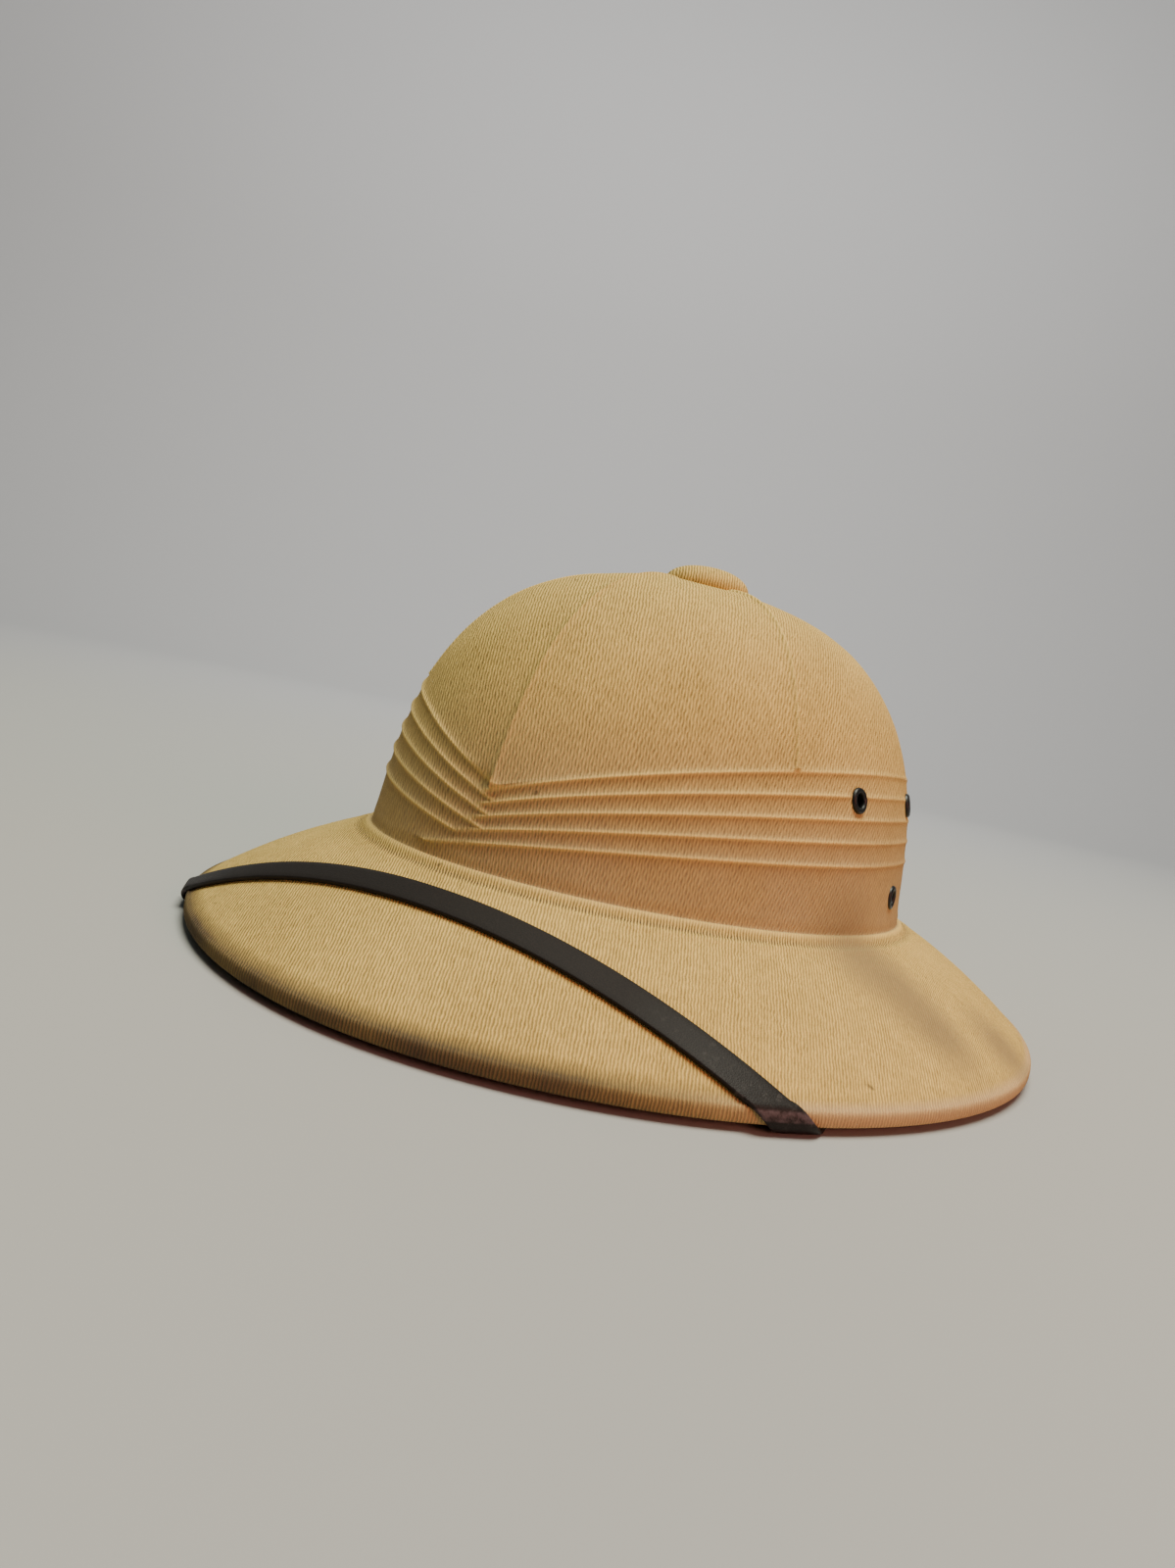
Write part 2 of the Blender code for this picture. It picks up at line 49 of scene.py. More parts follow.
# Photograph's frame and the camera's place in it
PHOTO_HEIGHT_PX = 1600
FOCAL_PX = 1086.0
SENSOR_MM = 36.0
CAMERA_PLACE = (0.1577, -0.355, 0.0883)
CAMERA_TURN = 27.85
CAMERA_DIP = 4.39
CAMERA_ROLL = 11.87
CAMERA_CLIP = 0.01

# Sizes of the shell, as in the CAD source
GAP = 0.3 * MM
INSIDE_GAP = 0.6 * MM
WALL = 2.4 * MM
CROWN_HALF_WIDTH = 88.4 * MM
CROWN_FRONT = 114.5 * MM
CROWN_BACK = 113.0 * MM
CROWN_CENTRE_Y = 2.0 * MM
CROWN_ROUNDNESS = 2.0
CROWN_HEIGHT = 132.8 * MM
CROWN_STRAIGHT_HEIGHT = 41.4 * MM
CROWN_RISE_POWER = 2.24
CROWN_CLOSE_POWER = 2.94
CROWN_TAPER = 0.04
JUNCTION_HEIGHT = 31.4 * MM
JUNCTION_PITCH = 2.9 * MM
JUNCTION_FILLET = 4.0 * MM
BRIM_HALF_WIDTH = 141.5 * MM
BRIM_FRONT = 165.0 * MM
BRIM_BACK = 165.0 * MM
BRIM_WIDEST_Y = -9.0 * MM
BRIM_ROUNDNESS = 1.93
BRIM_BULGE = 3.0 * MM
RIM_RADIUS = 2.5 * MM
RIM_FLAT = 2.0 * MM
BRIM_SLOPE_TURN = 61.0
RIB_COUNT = 5
RIB_FRONT_LOW = 42.3 * MM
RIB_FRONT_HIGH = 57.2 * MM
RIB_SIDE_LOW = 54.4 * MM
RIB_SIDE_HIGH = 82.6 * MM
RIB_LEAN_POWER_LOW = 2.3
RIB_LEAN_POWER_HIGH = 2.05
PANEL_TURN = 54.0
BUTTON_RADIUS = 15.5 * MM
BUTTON_DOME = 8.0 * MM
BUTTON_EDGE = 1.0 * MM
STEM_RADIUS = 2.5 * MM
STEM_HEAD_RADIUS = 6.0 * MM
STEM_HEAD_THICKNESS = 1.2 * MM
EYELET_BORE_RADIUS = 2.2 * MM
EYELET_BARREL_RADIUS = 2.8 * MM
EYELET_FLANGE_RADIUS = 4.1 * MM
EYELET_ROLL = 1.0 * MM
EYELET_BACK_RADIUS = 3.9 * MM
EYELET_BACK_THICKNESS = 0.6 * MM
EYELET_UPPER_HEIGHT = 73.7 * MM
EYELET_LOWER_HEIGHT = 43.6 * MM
EYELET_FRONT_TURN = 71.0
EYELET_BACK_TURN = 99.0
EYELET_LOWER_TURN = 90.0
STRAP_WIDTH = 8.8 * MM
STRAP_THICKNESS = 1.5 * MM
STRAP_MIDDLE_INSET = 35.8 * MM
STRAP_EDGE_TURN = 43.9
STRAP_BOW_POWER = 1.75
STRAP_RIM_LEAN = 50.0
STRAP_WALL_TURN = 76.0
STRAP_WALL_DROP = 15.0 * MM
STRAP_TUCK = 6.0 * MM
STRAP_END_MARGIN = 8.0 * MM
STRAP_LEAN_FROM = 0.6
STRAP_LEAVING = (-0.12, 1.0, 0.0)
STRAP_PULL = 0.32
STRAP_STRAIGHT_BY = 0.3
RIM_LIFT = STRAP_THICKNESS + GAP
CROWN_TOP = RIM_LIFT + CROWN_HEIGHT
STRAIGHT_TOP = RIM_LIFT + CROWN_STRAIGHT_HEIGHT

# Relief that the fine shell adds
RIGHT_RIBS_RISE_LOW = 0.3 * MM
RIGHT_RIBS_RISE_HIGH = 4.4 * MM
RIGHT_RIBS_BACK_FADE = 40.0
RIGHT_RIBS_FRONT_FADE = 30.0
RIGHT_RIBS_FRONT_SHARE = 0.5
RIB_CREST = 0.8 * MM
RIB_SPREAD = 0.8 * MM
RIB_SKIRT_SPREAD = 1.5 * MM
RIB_SKIRT = 0.5
RIB_END_FADE = 1.0 * MM
RIB_END_START = 0.9
RIB_FOOT_FADE = 2.0 * MM
RIB_REACH_TURN = -40.0
RIB_FADE = 0.4
RIB_FADE_TURN = 60.0
RIB_FADE_WIDTH = 30.0
PANEL_RIDGE = 0.9 * MM
PANEL_SPREAD = 0.8 * MM
PANEL_CREASE = 0.5 * MM
PANEL_FOOT_FADE = 1.0 * MM
PANEL_TOP_FADE = 0.6 * MM
FRONT_RIDGE = 0.35 * MM
FRONT_CREASE = 1.3 * MM
CREASE_SPREAD = 9.0 * MM
FOOT_SHARPNESS = 3.0
FOOT_BEAD = (0.7 * MM, 1.9 * MM, 1.1 * MM)
FOOT_GROOVE = (-0.4 * MM, 5.0 * MM, 1.4 * MM)
SECOND_BEAD = (0.2 * MM, 7.6 * MM, 1.1 * MM)
BEAD_CREST_SHARE = 1.4
BEAD_TOP_FADE = 1.0 * MM
FOOT_FLARE = 1.1 * MM
FOOT_FLARE_SPREAD = 9.0 * MM
LARGE_WAVE = (0.3 * MM, 38.0 * MM)
SMALL_WAVE = (0.08 * MM, 9.0 * MM)
BRIM_WAVE_SHARE = 0.4
BUTTON_FLAT_FADE = 8.0 * MM
EYELET_FLAT_SHARE = 0.8
EYELET_FLAT_FADE = 3.0 * MM
RIM_SQUARENESS = 2.8
RIM_SQUARE_TURN = 12.0
RIM_INSIDE_RISE = 0.5
# Lip darkened by dirt and painted shade, strongest from the front round to the left and weakest on the
# right
LIP_DIRT_AND_SHADE_RIGHT = 52.0
LIP_DIRT_AND_SHADE_LEFT = -105.0
LIP_DIRT_AND_SHADE_FADE = 28.0
LIP_DIRT_AND_SHADE_LEAST = 0.15
LIP_DIRT_AND_SHADE_TOP_SHARE = 0.5
# The crown's wall turns greyer and darker towards its foot, below about this height
WALL_TINT_TOP = 100.0 * MM
WALL_TINT_FADE = 60.0 * MM

# Button's and eyelets' roundings
BUTTON_SIDE_POWER = 0.85
BUTTON_RISE_POWER = 0.9
BUTTON_SHOULDER = ((0.1, 0.45), (0.4, 0.1), (0.9, 0.0))
EYELET_SEAT = 0.12 * MM
EYELET_RISE = 1.1
EYELET_RISE_POWER = 0.8

# How finely the pieces are divided
COLUMN_STEP = 1.1
PANEL_OFFSETS = (-1.0, -0.6, -0.3, 0.0, 0.3, 0.6, 1.0)
PANEL_CLEAR = 0.3
UPPER_ROWS = 58
RIB_OFFSETS = (0.5, 0.35, 0.24, 0.17, 0.11, 0.055, 0.0, -0.055, -0.11, -0.17, -0.24, -0.35)
RIB_ROWS_ABOVE = 0.6
RIB_ROWS_BELOW = 0.5
ROW_CHANGE_TURN = 6.0
LOWER_ROWS = 9
FILLET_ROWS = 10
NEAR_BRIM_ROWS = 20
NEAR_BRIM_SHARE = 0.16
FAR_BRIM_ROWS = 22
RIM_ROWS = 12
INSIDE_EVERY = 4
HOLE_SIDES = 28
HOLE_REACH = 3.0
BUTTON_ROWS = 22
BUTTON_SIDES = 96
EYELET_ROLL_STEPS = 12
EYELET_SIDES = 48
STRAP_BRIM_STATIONS = 64
STRAP_RIM_STATIONS = 16
STRAP_FREE_STATIONS = 34
STRAP_WALL_STATIONS = 14
SHELL_SHARP_ANGLE = 60.0
SHARP_ANGLE = 50.0

# Steps of the search for a place on the brim, and of slopes measured on a surface
SEARCH_ROUNDS = 8
TURN_STEP = 0.5
HEIGHT_STEP = 0.5 * MM
SHARE_STEP = 0.01


def rows_to_array(x, y, z):
    return np.stack(np.broadcast_arrays(x, y, z), axis=-1).astype(float)


def signed_power(value, power):
    return np.sign(value) * np.abs(value) ** power


def smooth(value):
    value = np.clip(value, 0.0, 1.0)
    return value * value * (3.0 - 2.0 * value)


def unit(vector):
    return vector / np.linalg.norm(vector)


def fold_turn(turn):
    return (np.asarray(turn, float) + 180.0) % 360.0 - 180.0


def oval(turn, half_width, front, back, centre_y, roundness):
    """Plan of a superellipse whose front and back may differ in length."""
    angle = np.radians(turn)
    sine = signed_power(np.sin(angle), 2.0 / roundness)
    cosine = signed_power(np.cos(angle), 2.0 / roundness)
    length = np.where(cosine > 0.0, front, back)
    return half_width * sine, centre_y - length * cosine


def crown_plan(turn):
    return oval(turn, CROWN_HALF_WIDTH, CROWN_FRONT, CROWN_BACK, CROWN_CENTRE_Y, CROWN_ROUNDNESS)


def edge_plan(turn):
    front = BRIM_FRONT + BRIM_WIDEST_Y
    back = BRIM_BACK - BRIM_WIDEST_Y
    return oval(turn, BRIM_HALF_WIDTH, front, back, BRIM_WIDEST_Y, BRIM_ROUNDNESS)


def junction_height(turn):
    return RIM_LIFT + JUNCTION_HEIGHT + JUNCTION_PITCH * np.cos(np.radians(turn))


def closing_share(height, foot):
    """Share of the crown's foot oval that is left at a height."""
    rise = np.clip((height - STRAIGHT_TOP) / (CROWN_TOP - STRAIGHT_TOP), 0.0, 1.0)
    closed = (1.0 - rise ** CROWN_RISE_POWER) ** (1.0 / CROWN_CLOSE_POWER)
    return closed * (1.0 - CROWN_TAPER * (height - foot) / (CROWN_TOP - foot))


def crown_point(turn, height):
    x, y = crown_plan(turn)
    share = closing_share(height, junction_height(turn))
    return rows_to_array(x * share, CROWN_CENTRE_Y + (y - CROWN_CENTRE_Y) * share, height)


def dome_height(angle):
    """Height on the crown at an angle of its closing curve, 90 at the very top."""
    rise = np.sin(np.radians(angle)) ** (2.0 / CROWN_RISE_POWER)
    return STRAIGHT_TOP + (CROWN_TOP - STRAIGHT_TOP) * rise


def dome_angle(height):
    rise = np.clip((height - STRAIGHT_TOP) / (CROWN_TOP - STRAIGHT_TOP), 0.0, 1.0)
    return np.degrees(np.arcsin(rise ** (CROWN_RISE_POWER / 2.0)))


def edge_outward(turn):
    """Unit outward normal of the brim's plan."""
    x0, y0 = edge_plan(turn - TURN_STEP)
    x1, y1 = edge_plan(turn + TURN_STEP)
    along = np.stack([x1 - x0, y1 - y0], axis=-1)
    along = along / np.linalg.norm(along, axis=-1)[..., None]
    return rows_to_array(along[..., 1], -along[..., 0], 0.0)


def rim_point(turn, angle, radius, roundness=2.0):
    """Point round the rim's rounded nose; angle 90 is its top and -90 its underside."""
    x, y = edge_plan(turn)
    centre = rows_to_array(x, y, RIM_LIFT + RIM_RADIUS) - edge_outward(turn) * RIM_RADIUS
    out = radius * signed_power(np.cos(np.radians(angle)), 2.0 / roundness)
    rise = radius * signed_power(np.sin(np.radians(angle)), 2.0 / roundness)
    return centre + edge_outward(turn) * out + UP * rise


def brim_point(turn, share):
    """Top of the brim, from the crown's foot at share 0 to the rim at share 1."""
    x, y = crown_plan(turn)
    foot = rows_to_array(x, y, junction_height(turn))
    rim = rim_point(turn, BRIM_SLOPE_TURN, RIM_RADIUS)
    share = np.asarray(share, float)[..., None]
    return foot + (rim - foot) * share + UP * (BRIM_BULGE * 4.0 * share * (1.0 - share))


def fillet_share(turn):
    x, y = crown_plan(turn)
    corner = rows_to_array(x, y, junction_height(turn))
    length = np.linalg.norm(brim_point(turn, np.ones_like(turn)) - corner, axis=-1)
    return JUNCTION_FILLET / length


def fillet_point(turn, blend):
    """Hollow curve between crown and brim, from the crown at 0 to the brim at 1."""
    x, y = crown_plan(turn)
    corner = rows_to_array(x, y, junction_height(turn))
    upper = crown_point(turn, junction_height(turn) + JUNCTION_FILLET)
    lower = brim_point(turn, fillet_share(turn))
    near = 2 * blend * (1 - blend) * FOOT_SHARPNESS
    curve = (1 - blend) ** 2 * upper + near * corner + blend ** 2 * lower
    return curve / ((1 - blend) ** 2 + near + blend ** 2)


def rib_line(turn, rib, side):
    """Height of a rib's crest in the family of one side, straight on past the front's middle."""
    share = rib / (RIB_COUNT - 1)
    own = fold_turn(turn) * side
    front = RIB_FRONT_LOW + (RIB_FRONT_HIGH - RIB_FRONT_LOW) * share
    flank = RIB_SIDE_LOW + (RIB_SIDE_HIGH - RIB_SIDE_LOW) * share
    power = RIB_LEAN_POWER_LOW + (RIB_LEAN_POWER_HIGH - RIB_LEAN_POWER_LOW) * share
    from_centre = np.clip(np.minimum(own, 180.0 - own), 0.0, 90.0)
    lean = 1.0 - (1.0 - from_centre / 90.0) ** power
    lean = np.where(own < 0.0, power * own / 90.0, lean)
    height = RIM_LIFT + front + (flank - front) * lean
    if side < 0:
        rise = RIGHT_RIBS_RISE_LOW + (RIGHT_RIBS_RISE_HIGH - RIGHT_RIBS_RISE_LOW) * share
        back = smooth((180.0 - np.abs(own)) / RIGHT_RIBS_BACK_FADE)
        ahead = smooth(own / RIGHT_RIBS_FRONT_FADE)
        ahead = RIGHT_RIBS_FRONT_SHARE + (1.0 - RIGHT_RIBS_FRONT_SHARE) * ahead
        height = height + rise * (back * ahead)
    return height


def row_line(turn, rib):
    """Height of the mesh's row at a rib, which changes family over the front's middle."""
    left = rib_line(turn, rib, 1.0)
    right = rib_line(turn, rib, -1.0)
    turn = fold_turn(turn)
    mirrored = rib_line(-turn, rib, 1.0)
    other = mirrored + (right - mirrored) * smooth(-turn / ROW_CHANGE_TURN)
    return np.where(turn >= 0.0, left, other)


def above_line(line, other):
    """1 where a rib's line runs above another one, fading out where they meet."""
    return smooth((line - other) / RIB_END_FADE + RIB_END_START)


def rib_relief(turn, height):
    """Pressed pleat ribs; each ends where it meets the other side's family."""
    relief = np.zeros(np.broadcast(turn, height).shape)
    turn = np.broadcast_to(fold_turn(turn), relief.shape)
    for side in (1.0, -1.0):
        for rib in range(RIB_COUNT):
            line = rib_line(turn, rib, side)
            stop = rib - 1 if side > 0 else rib
            own = turn * side
            if stop >= 0:
                above = above_line(line, rib_line(turn, stop, -side))
            else:
                above = smooth((line - junction_height(turn)) / RIB_FOOT_FADE)
            shown = np.where(own < 0.0, above, 1.0)
            if side < 0 and rib == 0:
                shown = shown * above_line(line, rib_line(turn, 1, 1.0))
            shown = shown * (own > RIB_REACH_TURN)
            away = np.abs(height - line)
            ridge = (1.0 - RIB_SKIRT) * np.exp(-(away / RIB_SPREAD) ** 2)
            skirt = RIB_SKIRT * np.exp(-away / RIB_SKIRT_SPREAD)
            faded = 1.0 - RIB_FADE * smooth((own - RIB_FADE_TURN) / RIB_FADE_WIDTH)
            relief = np.maximum(relief, RIB_CREST * (ridge + skirt) * shown * faded)
    return relief


def panel_relief(turn, height, per_turn):
    """Narrow ridges down the crown between its panels, ending at the top rib."""
    top_rib = np.where(fold_turn(turn) >= 0.0, rib_line(turn, RIB_COUNT - 1, 1.0),
                       rib_line(turn, RIB_COUNT - 1, -1.0))
    shown = smooth((height - top_rib) / PANEL_FOOT_FADE)
    shown = shown * smooth((CROWN_TOP - height) / PANEL_TOP_FADE)
    relief = np.zeros_like(height)
    crest = np.zeros_like(height)
    for panel in (0.0, PANEL_TURN, 180.0 - PANEL_TURN, 180.0):
        away = np.abs(np.abs(fold_turn(turn)) - panel) * per_turn
        ridge = FRONT_RIDGE if panel == 0.0 else PANEL_RIDGE
        crease = FRONT_CREASE if panel == 0.0 else PANEL_CREASE
        narrow = np.exp(-(away / PANEL_SPREAD) ** 2)
        relief = relief + ridge * narrow + crease * np.exp(-away / CREASE_SPREAD)
        crest = crest + narrow * ridge / PANEL_RIDGE
    return relief * shown, crest * shown


def waves_at(points, depth, size):
    """Low waves of about a depth at each point, with features of a size."""
    values = [noise.noise(Vector(point)) for point in points.reshape(-1, 3) / size]
    return depth * np.array(values).reshape(points.shape[:-1])


def column_turns():
    """Turns of the fine shell's columns, closer together at the panel ridges."""
    panels = (0.0, PANEL_TURN, 180.0 - PANEL_TURN, 180.0, PANEL_TURN - 180.0, -PANEL_TURN)
    base = np.arange(-180.0, 180.0, COLUMN_STEP)
    for panel in panels:
        base = base[np.abs(fold_turn(base - panel)) > PANEL_OFFSETS[-1] + PANEL_CLEAR]
    close = [fold_turn(panel + offset) for panel in panels for offset in PANEL_OFFSETS]
    return np.sort(np.concatenate([base, close]))


def outer_grid(turns):
    """Smooth points of the shell's outer face by row, with each row's part of the hat."""
    rows = []
    parts = []
    hole_share = (STEM_RADIUS + GAP) / CROWN_HALF_WIDTH
    hole_angle = math.degrees(math.acos(hole_share ** (CROWN_CLOSE_POWER / 2.0)))
    low_angle = dome_angle(row_line(turns, RIB_COUNT - 1 + RIB_ROWS_ABOVE))
    for row in range(UPPER_ROWS):
        angle = hole_angle + (low_angle - hole_angle) * row / UPPER_ROWS
        rows.append(crown_point(turns, dome_height(angle)))
        parts.append("crown")
    for rib in reversed(range(RIB_COUNT)):
        for offset in RIB_OFFSETS:
            rows.append(crown_point(turns, row_line(turns, rib + offset)))
            parts.append("crown")
    low = row_line(turns, -RIB_ROWS_BELOW)
    foot = junction_height(turns) + JUNCTION_FILLET
    for row in range(LOWER_ROWS):
        rows.append(crown_point(turns, low + (foot - low) * row / LOWER_ROWS))
        parts.append("crown")
    for row in range(FILLET_ROWS):
        rows.append(fillet_point(turns, row / FILLET_ROWS))
        parts.append("fillet")
    start = fillet_share(turns)
    near = np.linspace(0.0, NEAR_BRIM_SHARE, NEAR_BRIM_ROWS, endpoint=False)
    far = np.linspace(NEAR_BRIM_SHARE, 1.0, FAR_BRIM_ROWS, endpoint=False)
    for share in np.concatenate([near, far]):
        rows.append(brim_point(turns, start + (1.0 - start) * share))
        parts.append("brim")
    return np.stack(rows), np.array(parts)


def grid_normals(grid):
    down = np.gradient(grid, axis=0)
    along = np.roll(grid, -1, axis=1) - np.roll(grid, 1, axis=1)
    normals = np.cross(down, along)
    return normals / np.linalg.norm(normals, axis=-1)[..., None]


def eyelet_places():
    """Table of eyelets: name, turn, height above the rim, what it clamps."""
    table = []
    for side, sign in (("left", 1.0), ("right", -1.0)):
        table.append((f"vent_eyelet_{side}_front", sign * EYELET_FRONT_TURN,
                      EYELET_UPPER_HEIGHT, WALL))
        table.append((f"vent_eyelet_{side}_back", sign * EYELET_BACK_TURN,
                      EYELET_UPPER_HEIGHT, WALL))
        table.append((f"strap_eyelet_{side}", sign * EYELET_LOWER_TURN,
                      EYELET_LOWER_HEIGHT, WALL + INSIDE_GAP + STRAP_THICKNESS))
    return table


def near_eyelets(points):
    """0 under an eyelet's flange and 1 away from it."""
    clear = np.ones(points.shape[:-1])
    for _, turn, height, _ in eyelet_places():
        centre = crown_point(turn, RIM_LIFT + height)
        away = np.linalg.norm(points - centre, axis=-1)
        beyond = away - EYELET_FLAT_SHARE * EYELET_FLANGE_RADIUS
        clear = np.minimum(clear, smooth(beyond / EYELET_FLAT_FADE))
    return clear


def shell_relief(turns, grid, parts):
    """Height of the outer face above its smooth form, and the marks that its cloth needs.

    The marks, by row and column too, are the crests, painted paler as highlight with some wear,
    the painted shade in the groove at the crown's foot and the wall that turns greyer towards its
    foot.
    """
    spacing = np.linalg.norm(np.roll(grid, -1, axis=1) - np.roll(grid, 1, axis=1), axis=-1)
    turned = fold_turn(np.roll(turns, -1) - np.roll(turns, 1))
    per_turn = spacing / turned
    turn = np.broadcast_to(turns, grid.shape[:-1])
    height = grid[..., 2]
    crown = (parts == "crown")[:, None]
    fillet = (parts == "fillet")[:, None]
    below_crown = ~crown
    clear = near_eyelets(grid)
    ribs = rib_relief(turn, height) * clear * crown
    panels, seams = panel_relief(turn, height, per_turn)
    panels = panels * crown
    rise = height - junction_height(turn)
    reach = np.linalg.norm(grid[..., :2] - np.stack(crown_plan(turn), axis=-1), axis=-1)
    below = np.where(crown, 0.0, np.maximum(reach - FOOT_BEAD[1], 0.0))
    flare = FOOT_FLARE * np.exp(-np.maximum(rise - JUNCTION_FILLET, 0.0) / FOOT_FLARE_SPREAD)
    flare = flare * np.exp(-below / FOOT_FLARE_SPREAD)
    foot = sum(tall * np.exp(-((reach - place) / spread) ** 2)
               for tall, place, spread in (FOOT_BEAD, FOOT_GROOVE, SECOND_BEAD))
    foot = foot * below_crown
    # Painted shade in the groove at the crown's foot
    groove = np.exp(-((reach - FOOT_GROOVE[1]) / FOOT_GROOVE[2]) ** 2) * below_crown
    bead = np.exp(-((reach - FOOT_BEAD[1]) / (BEAD_CREST_SHARE * FOOT_BEAD[2])) ** 2) * below_crown
    top = np.linalg.norm(grid - grid[0].mean(axis=0), axis=-1)
    quiet = smooth((top - BUTTON_RADIUS) / BUTTON_FLAT_FADE) * clear
    waves = (waves_at(grid, *LARGE_WAVE) + waves_at(grid, *SMALL_WAVE)) * quiet
    # Crests of ribs, seams and the foot's bead, painted paler as highlight, with some wear on the ribs
    crests = np.maximum(np.maximum(ribs / RIB_CREST, seams * crown), bead)
    relief = ribs + panels + flare + foot
    relief = relief + waves * (BRIM_WAVE_SHARE + (1.0 - BRIM_WAVE_SHARE) * crown)
    above_bead = fillet * smooth((FOOT_BEAD[1] - reach) / BEAD_TOP_FADE + 0.5)
    wall_tint = np.maximum(crown, above_bead) * smooth((WALL_TINT_TOP - height) / WALL_TINT_FADE)
    return relief, crests, groove, wall_tint


def mesh_object(name, vertices, faces, material):
    mesh = bpy.data.meshes.new(name)
    mesh.from_pydata([tuple(v) for v in vertices], [], faces)
    builder = bmesh.new()
    builder.from_mesh(mesh)
    bmesh.ops.recalc_face_normals(builder, faces=builder.faces)
    builder.to_mesh(mesh)
    builder.free()
    mesh.shade_smooth()
    item = bpy.data.objects.new(name, mesh)
    bpy.context.collection.objects.link(item)
    mesh.materials.append(material)
    return item


def ring_faces(ring_count, size, closed_rings):
    faces = []
    for ring in range(ring_count if closed_rings else ring_count - 1):
        following = (ring + 1) % ring_count
        for side in range(size):
            after = (side + 1) % size
            faces.append((ring * size + side, ring * size + after,
                          following * size + after, following * size + side))
    return faces


def turned_object(name, profile, sides, material):
    """Body turned about +Z from (radius, height) pairs; ends on the axis become points."""
    body = [place for place in profile if place[0] > 0.0]
    ends = ((profile[0], 0), (profile[-1], len(body) - 1))
    poles = [(place, ring) for place, ring in ends if place[0] == 0.0]
    vertices = []
    for radius, height in body:
        for side in range(sides):
            angle = 2.0 * math.pi * side / sides
            vertices.append((radius * math.cos(angle), radius * math.sin(angle), height))
    faces = ring_faces(len(body), sides, not poles)
    for place, ring in poles:
        pole = len(vertices)
        vertices.append((0.0, 0.0, place[1]))
        for side in range(sides):
            faces.append((pole, ring * sides + side, ring * sides + (side + 1) % sides))
    return mesh_object(name, vertices, faces, material)


def store(item, name, values):
    """Keep one number for each vertex, for the material to read."""
    layer = item.data.attributes.new(name, "FLOAT", "POINT")
    layer.data.foreach_set("value", np.asarray(values, np.float32).ravel())


def crown_normal(turn, height):
    along = crown_point(turn + TURN_STEP, height) - crown_point(turn - TURN_STEP, height)
    rise = crown_point(turn, height + HEIGHT_STEP) - crown_point(turn, height - HEIGHT_STEP)
    return unit(np.cross(along, rise))


def place_on_crown(item, turn, height):
    """Move a piece from the origin to the crown's face, its +Z along the face's normal."""
    turned = Vector(crown_normal(turn, height)).to_track_quat("Z", "Y").to_matrix().to_4x4()
    item.matrix_world = Matrix.Translation(Vector(crown_point(turn, height))) @ turned


def cut_eyelet_holes(item, names, material):
    """Cut the barrels' holes through a piece and leave no cutter behind."""
    cutters = []
    for name, turn, height, depth in eyelet_places():
        if name in names:
            reach = depth * HOLE_REACH
            radius = EYELET_BARREL_RADIUS + GAP
            profile = [(0.0, -reach), (radius, -reach), (radius, reach), (0.0, reach)]
            cutter = turned_object(f"cut_{name}", profile, HOLE_SIDES, material)
            place_on_crown(cutter, turn, RIM_LIFT + height)
            cutters.append(cutter)
    bpy.context.view_layer.update()
    for cutter in cutters:
        modifier = item.modifiers.new(cutter.name, "BOOLEAN")
        modifier.operation = "DIFFERENCE"
        modifier.object = cutter
    depsgraph = bpy.context.evaluated_depsgraph_get()
    mesh = bpy.data.meshes.new_from_object(item.evaluated_get(depsgraph))
    item.modifiers.clear()
    item.data = mesh
    for cutter in cutters:
        bpy.data.objects.remove(cutter, do_unlink=True)


def brim_place(x, y):
    """Turn and share on the brim above a place in plan, by Newton steps."""
    guess = np.array([math.degrees(math.atan2(x, -y)), 0.5])
    target = np.array([x, y])
    for _ in range(SEARCH_ROUNDS):
        turn, share = guess
        here = brim_point(turn, share)[:2]
        per_turn = (brim_point(turn + TURN_STEP, share)[:2] - here) / TURN_STEP
        per_share = (brim_point(turn, share + SHARE_STEP)[:2] - here) / SHARE_STEP
        guess = guess + np.linalg.solve(np.stack([per_turn, per_share], axis=1), target - here)
    return guess


def brim_surface(x, y):
    """Point and upward normal of the brim's top above a place in plan."""
    turn, share = brim_place(x, y)
    along = brim_point(turn + TURN_STEP, share) - brim_point(turn - TURN_STEP, share)
    across = brim_point(turn, share + SHARE_STEP) - brim_point(turn, share - SHARE_STEP)
    normal = unit(np.cross(across, along))
    return brim_point(turn, share), normal * np.sign(normal[2])


def strap_middle(x, end):
    """Plan of the strap's middle line on the brim, bowed back towards its ends."""
    front = -BRIM_FRONT + STRAP_MIDDLE_INSET
    return np.array([x, front + (end[1] - front) * (abs(x) / end[0]) ** STRAP_BOW_POWER])


def strap_on_brim(lift, count):
    """Stations from the hat's middle to the rim, as pairs of (point, normal)."""
    end = brim_point(STRAP_EDGE_TURN, 1.0)
    stations = []
    for station in range(count):
        x = end[0] * station / count
        here = strap_middle(x, end)
        ahead = strap_middle(x + MM, end)
        point, normal = brim_surface(*here)
        along = unit(brim_surface(*ahead)[0] - point)
        across = unit(np.cross(normal, along))
        blend = max(0.0, (station / count - STRAP_LEAN_FROM) / (1.0 - STRAP_LEAN_FROM))
        across = across + along * (math.tan(math.radians(STRAP_RIM_LEAN)) * blend ** 2)
        pair = []
        for side in (-0.5, 0.5):
            place = point + across * (side * STRAP_WIDTH)
            surface, face = brim_surface(place[0], place[1])
            pair.append((surface + face * lift, face))
        stations.append(pair)
    return stations


